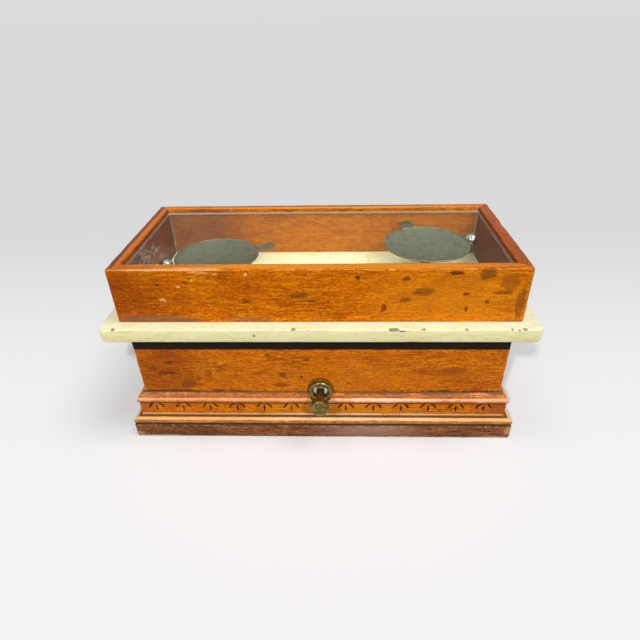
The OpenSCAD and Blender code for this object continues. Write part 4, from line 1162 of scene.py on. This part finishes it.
def make_knob():
    """Knob turned in one with its neck: a thin raised ring round a slightly hollow face."""
    low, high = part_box("arrest_knob")
    radius, shaft = high.x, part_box("arrest_shaft")[1].x
    thick = high.y - low.y
    hollow = 0.45 * MM
    profile = [(0, hollow * 1.3), (radius * 0.5, hollow * 1.2), (radius - 1.5 * MM, hollow)]
    profile += round_profile((radius - 0.85 * MM, 0.4 * MM), 0.4 * MM, 180, 360, 9)
    profile += round_profile((radius - 0.5 * MM, 1.0 * MM), 0.5 * MM, -50, 0, 4)
    profile += [(radius, thick - 1.2 * MM)]
    profile += round_profile((radius - 0.8 * MM, thick - 0.8 * MM), 0.8 * MM, 0, 80, 6)
    neck = thick + 3.6 * MM
    profile += round_profile((shaft + 3.6 * MM + 0.1 * MM, neck), 3.6 * MM, 285, 180, 10)
    profile += [(shaft + 0.1 * MM, neck + 0.5 * MM), (0, neck + 0.5 * MM)]
    bm = bmesh.new()
    to_frame = Matrix.Translation((0, low.y, shaft_z)) @ Matrix.Rotation(-math.pi / 2, 4, "X")
    lathe_rings(bm, profile, to_frame)
    finish_mesh("arrest_knob_turned", bm, OLD_BRASS, "arrest", sharp=50,
                replaces=["arrest_knob"])


def tab_outline(radius, end):
    """Plan of a thumb tab: it flares where it leaves the rim at radius, and has round corners at its end."""
    tip, root, soft = 13 * MM / 2, 10 * MM / 2, 3.2 * MM
    outline = []
    for side in (-1, 1):
        half = [(radius + past * MM, side * (root + wider * MM))
                for past, wider in ((-0.9, 2.4), (0.5, 0.9), (2.0, 0.2), (4.0, 0.0))]
        for i in range(9):
            angle = math.radians(90 * i / 8)
            half.append((end - soft + soft * math.sin(angle), side * (tip - soft + soft * math.cos(angle))))
        outline += half if side < 0 else list(reversed(half))
    return outline


def make_pan(node, tab_angle):
    """Spun dish with a rolled rim, and a thumb tab soldered under it."""
    low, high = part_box(node)
    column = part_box(node.replace("pan", "column"))
    centre = Vector(((column[0].x + column[1].x) / 2, 0, high.z - 0.4 * MM))
    radius, deep, sheet_t, bead = 36.7 * MM, 6.5 * MM, 0.8 * MM, 0.7 * MM
    ball = (radius ** 2 + deep ** 2) / (2 * deep)

    def under(at, thick):
        return ball - deep - math.sqrt((ball + thick) ** 2 - at ** 2)

    steps = 26
    reach = radius - 2 * bead
    profile = [(reach * i / steps, under(reach * i / steps, 0)) for i in range(steps + 1)]
    profile += round_profile((radius - bead, -0.3 * MM), bead, 150, -120, 14)
    profile += [(blend_to(reach, 6.4 * MM, i / steps), under(blend_to(reach, 6.4 * MM, i / steps), sheet_t))
                for i in range(steps + 1)]
    boss = low.z - centre.z
    profile += [(6 * MM, under(6 * MM, sheet_t) - 0.5 * MM), (6 * MM, boss + 0.3 * MM), (5.7 * MM, boss)]
    profile += [(2.6 * MM, boss), (2.6 * MM, boss + 3.7 * MM), (0, boss + 3.7 * MM)]
    bm = bmesh.new()
    to_frame = Matrix.Translation(centre)
    lathe_rings(bm, profile, to_frame, 160)
    turn = to_frame @ Matrix.Rotation(math.radians(tab_angle), 4, "Z")
    end, thick = 52.5 * MM, 0.9 * MM
    outline = tab_outline(radius, end)
    rings = []
    middle = Vector((radius + 8 * MM, 0))
    for inset, z in ((0.25, -thick), (0.0, -thick + 0.25 * MM), (0.0, -0.3 * MM), (0.25, -0.05 * MM)):
        ring = []
        for x, y in outline:
            away = (Vector((x, y)) - middle).normalized() * inset * MM
            lift = 0.5 * MM * smooth_step(x, radius, end)
            ring.append(bm.verts.new(turn @ Vector((x - away.x, y - away.y, z + lift - 0.3 * MM))))
        rings.append(ring)
    skin(bm, rings)
    finish_mesh(node + "_dish", bm, NICKEL, node, sharp=40, replaces=[node])


def make_turned():
    make_rosette()
    make_knob()
    make_pan("left_pan", 23.5)
    make_pan("right_pan", 106.0)


make_turned()


# Glass and the dust on it

def glass_material():
    """Clear glass that lets lamp light through to what lies under it."""
    made, sheet, shader = new_material("clear_glass")
    shader.inputs["Base Color"].default_value = srgb(244, 250, 247)
    shader.inputs["Roughness"].default_value = 0.02
    shader.inputs["IOR"].default_value = 1.06
    shader.inputs["Transmission Weight"].default_value = 1.0
    clear = sheet.put("BsdfTransparent", {"Color": srgb(220, 223, 216)})
    path = sheet.put("LightPath")
    either = sheet.put("MixShader", {0: path.outputs["Is Shadow Ray"], 1: shader.outputs[0],
                                     2: clear.outputs[0]})
    output = next(n for n in sheet.tree.nodes if n.type == "OUTPUT_MATERIAL")
    sheet.feed(output.inputs["Surface"], either.outputs[0])
    return made


def dust_material(half_x, half_y):
    """A film of dust: thick along the rim and in the corners, thin and streaky elsewhere."""
    made, sheet, shader = new_material("dust_film")
    place = sheet.place_mm()
    parts = sheet.axes(place)
    from_side = sheet.minus(half_x * PER_MM, sheet.math("ABSOLUTE", parts["X"]))
    from_back = sheet.minus(half_y * PER_MM, parts["Y"])
    from_front = sheet.plus(half_y * PER_MM, parts["Y"])
    nearest = sheet.math("MINIMUM", from_side, from_front)
    cloud = sheet.noise_at(place, 0.12, 5.0, 0.65)
    drift = sheet.times(cloud, 5.0)
    edge = sheet.rest(sheet.step(sheet.plus(nearest, drift), 1.5, 6.5))
    back = sheet.rest(sheet.step(sheet.plus(from_back, drift), 5.0, 10.0))
    back = sheet.times(back, 0.75)
    veil = sheet.times(sheet.rest(sheet.step(parts["X"], -150, -20)), 0.03)
    wiped = sheet.noise_at(place, (0.06, 0.02, 0.06), 5.0, 0.65)
    veil = sheet.times(veil, sheet.step(wiped, 0.4, 0.62))
    corner = sheet.mask(SPOT, place, (-140, -36, glass_high.z * PER_MM), (22, 30, 6), 1.2, 0.7)
    smeared = sheet.noise_at(place, (0.5, 0.16, 0.5), 5.0, 0.7)
    corner = sheet.times(corner, sheet.step(smeared, 0.46, 0.6))
    specks = sheet.mask(SPECKS, place, 5.0, 0.35, 0.3)
    lines = sheet.mask(SCUFFS, place, 26.0, 0.01, 0.5)
    alpha = sheet.plus(0.004, sheet.times(edge, 0.35))
    for more, share in ((back, 0.8), (veil, 1.0), (corner, 0.26), (specks, 0.25), (lines, 0.08)):
        alpha = sheet.plus(alpha, sheet.times(more, share))
    sheet.feed(shader.inputs["Base Color"], sheet.mix(cloud, srgb(150, 138, 120), srgb(216, 208, 194)))
    sheet.feed(shader.inputs["Alpha"], sheet.math("MINIMUM", alpha, 0.85))
    shader.inputs["Roughness"].default_value = 0.9
    return made


def make_glazing():
    half_x, half_y = cover_w / 2 - cover_t - 0.1 * MM, cover_d / 2 - cover_t - 0.1 * MM
    pane = frame["nodes"]["glass"]
    pane.data.materials.clear()
    pane.data.materials.append(glass_material())
    bm = bmesh.new()
    low, high = glass_high.z + 0.02 * MM, glass_high.z + 0.06 * MM
    steps_x, steps_y = 12, 5
    columns = [blend_to(-half_x, half_x, i / steps_x) for i in range(steps_x + 1)]
    rows = [blend_to(-half_y, half_y, j / steps_y) for j in range(steps_y + 1)]
    for z in (low, high):
        grid = [[bm.verts.new((x, y, z)) for y in rows] for x in columns]
        for i in range(steps_x):
            for j in range(steps_y):
                bm.faces.new((grid[i][j], grid[i + 1][j], grid[i + 1][j + 1], grid[i][j + 1]))
    bmesh.ops.bridge_loops(bm, edges=[e for e in bm.edges if e.is_boundary])
    finish_mesh("glass_dust", bm, dust_material(half_x, half_y), "cover")


make_glazing()


# Finishes of the pieces that keep their own shape

def felt_material():
    made, sheet, shader = new_material("black_felt")
    place = sheet.place_mm()
    fuzz = sheet.noise_at(place, 2.0, 5.0, 0.7)
    lint = sheet.mask(SPECKS, place, 6.0, 0.3, 0.3)
    colour = sheet.mix(fuzz, srgb(18, 10, 6), srgb(40, 24, 14))
    sheet.feed(shader.inputs["Base Color"], sheet.lay(colour, lint, 0.5, srgb(96, 80, 60)))
    shader.inputs["Roughness"].default_value = 0.95
    set_relief(sheet, shader, fuzz, 0.15, 0.6)
    return made


def ivory_material():
    """Yellowed celluloid with plain division lines across its middle."""
    made, sheet, shader = new_material("ivory_scale")
    place = sheet.place_mm()
    parts = sheet.axes(place)
    low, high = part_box("index_scale")
    foot, top = low.z * PER_MM, high.z * PER_MM
    step = 2.0
    away = sheet.math("PINGPONG", parts["X"], step / 2)
    line = sheet.rest(sheet.step(away, 0.12, 0.2))
    tall = sheet.times(sheet.step(parts["Z"], foot + 5.0, foot + 5.1),
                       sheet.rest(sheet.step(parts["Z"], top - 3.1, top - 3.0)))
    inside = sheet.rest(sheet.step(sheet.math("ABSOLUTE", parts["X"]), 10.4, 10.5))
    ink = sheet.times(sheet.times(line, tall), inside)
    cloud = sheet.noise_at(place, 0.2, 4.0)
    colour = sheet.mix(cloud, srgb(226, 210, 168), srgb(244, 234, 204))
    sheet.feed(shader.inputs["Base Color"], sheet.mix(ink, colour, srgb(30, 26, 22)))
    shader.inputs["Roughness"].default_value = 0.35
    set_relief(sheet, shader, cloud, 0.03, 0.4)
    return made


def leather_material():
    made, sheet, shader = new_material("leather_pad")
    place = sheet.place_mm()
    cells = sheet.put("TexVoronoi", {"Scale": 1.0, "Vector": sheet.scaled(place, 1.6)},
                      feature="DISTANCE_TO_EDGE").outputs["Distance"]
    crease = sheet.step(cells, 0.0, 0.2)
    sheet.feed(shader.inputs["Base Color"], sheet.mix(crease, srgb(54, 30, 16), srgb(104, 64, 36)))
    shader.inputs["Roughness"].default_value = 0.6
    set_relief(sheet, shader, crease, 0.12, 0.8)
    return made


def finish_nodes():
    glue_block = wood_material("rough_pine", tones((206, 160, 104), (178, 128, 76), (138, 92, 52)), "X",
                               (5, 5, 5), rough=0.7)
    by_slot = {
        "dark_wood": glue_block, "black_felt": felt_material(), "old_brass": OLD_BRASS, "brass": BRASS,
        "steel": STEEL, "black_iron": IRON, "tarnished_nickel": NICKEL, "bright_nickel": BRIGHT_NICKEL,
        "ivory_scale": ivory_material(), "leather_pad": leather_material(), "varnished_wood": glue_block,
    }
    slots = {part["node"]: part["material_slot"] for part in frame["record"]["subparts"]}
    for name, node in frame["nodes"].items():
        if slots[name] == "glass" or node.hide_render:
            continue
        node.data.materials.clear()
        node.data.materials.append(by_slot[slots[name]])


finish_nodes()


# Stage, light and camera

def seen_rays(sheet):
    """1 for the rays that show the background: the camera's, and those off metal and through glass."""
    path = sheet.put("LightPath").outputs
    glossy = sheet.math("MAXIMUM", path["Is Glossy Ray"], path["Is Transmission Ray"])
    return sheet.math("MAXIMUM", path["Is Camera Ray"], glossy)


FLOOR_NEAR, FLOOR_FAR = srgb(242, 243, 244), srgb(219, 219, 219)
FLOOR_BOUNCE = (0.34, 0.34, 0.34, 1.0)


def make_stage():
    bm = bmesh.new()
    bmesh.ops.create_grid(bm, x_segments=8, y_segments=8, size=30.0)
    mesh = bpy.data.meshes.new("floor")
    bm.to_mesh(mesh)
    bm.free()
    floor = bpy.data.objects.new("floor", mesh)
    bpy.context.scene.collection.objects.link(floor)
    made, sheet, shader = new_material("pale_floor")
    parts = sheet.axes(sheet.put("TexCoord").outputs["Object"])
    share = sheet.step(parts["Y"], -0.1, 0.42)
    pale = sheet.mix(share, FLOOR_NEAR, FLOOR_FAR)
    sheet.feed(shader.inputs["Base Color"], sheet.mix(seen_rays(sheet), FLOOR_BOUNCE, pale))
    shader.inputs["Roughness"].default_value = 1.0
    shader.inputs["Specular IOR Level"].default_value = 0.0
    mesh.materials.append(made)


def make_world():
    world = bpy.data.worlds.new("studio")
    world.use_nodes = True
    world.node_tree.nodes.clear()
    sheet = Sheet(world.node_tree)
    soft = sheet.put("Background", {"Color": (1.0, 1.0, 1.0, 1.0), "Strength": WORLD_LIGHT})
    plain = sheet.put("Background", {"Color": FLOOR_FAR, "Strength": 1.0})
    both = sheet.put("MixShader", {0: seen_rays(sheet), 1: soft.outputs[0], 2: plain.outputs[0]})
    sheet.put("OutputWorld", {"Surface": both.outputs[0]})
    bpy.context.scene.world = world


def make_lamp(name, towards, level, angle):
    """A far lamp: the direction that it stands in, the share of full light that it gives, and its width."""
    data = bpy.data.lights.new(name, "SUN")
    data.energy, data.angle = level * math.pi, math.radians(angle)
    lamp = bpy.data.objects.new(name, data)
    bpy.context.scene.collection.objects.link(lamp)
    lamp.rotation_mode = "QUATERNION"
    lamp.rotation_quaternion = Vector(towards).to_track_quat("Z", "Y")
    lamp.location = Vector(towards)


WORLD_LIGHT = 0.11
CAMERA_AT = Vector((16.354, -386.010, 323.78)) * MM
YAW, PITCH, ROLL = 0.0367, 0.5698, 0.0211
FOCAL_PIXELS, CENTRE_PIXEL, PICTURE_PIXELS = 483.14, 324.385, 640
SENSOR = 36.0


def make_camera():
    """The photograph's view: where it was taken from, which way it looks, and its lens."""
    right = Vector((math.cos(YAW), math.sin(YAW), 0))
    ahead = Vector((-math.sin(YAW) * math.cos(PITCH), math.cos(YAW) * math.cos(PITCH), -math.sin(PITCH)))
    down = ahead.cross(right)
    rolled_right = right * math.cos(ROLL) + down * math.sin(ROLL)
    rolled_down = down * math.cos(ROLL) - right * math.sin(ROLL)
    data = bpy.data.cameras.new("camera")
    data.sensor_width, data.sensor_fit = SENSOR, "HORIZONTAL"
    data.lens = FOCAL_PIXELS / PICTURE_PIXELS * SENSOR
    data.shift_x = (PICTURE_PIXELS / 2 - CENTRE_PIXEL) / PICTURE_PIXELS
    data.clip_start = 0.01
    camera = bpy.data.objects.new("camera", data)
    bpy.context.scene.collection.objects.link(camera)
    columns = Matrix((rolled_right, -rolled_down, -ahead)).transposed()
    camera.matrix_world = Matrix.Translation(CAMERA_AT) @ columns.to_4x4()
    bpy.context.scene.camera = camera


make_stage()
make_world()
make_lamp("key_right", (0.3, -0.72, 0.62), 0.42, 2.5)
make_lamp("key_left", (-0.36, -0.72, 0.62), 0.38, 2.5)
make_lamp("soft_right", (0.4, -0.1, 0.91), 0.33, 26)
make_lamp("soft_left", (-0.32, -0.05, 0.95), 0.09, 20)
make_camera()
bpy.context.scene.view_settings.view_transform = "Standard"
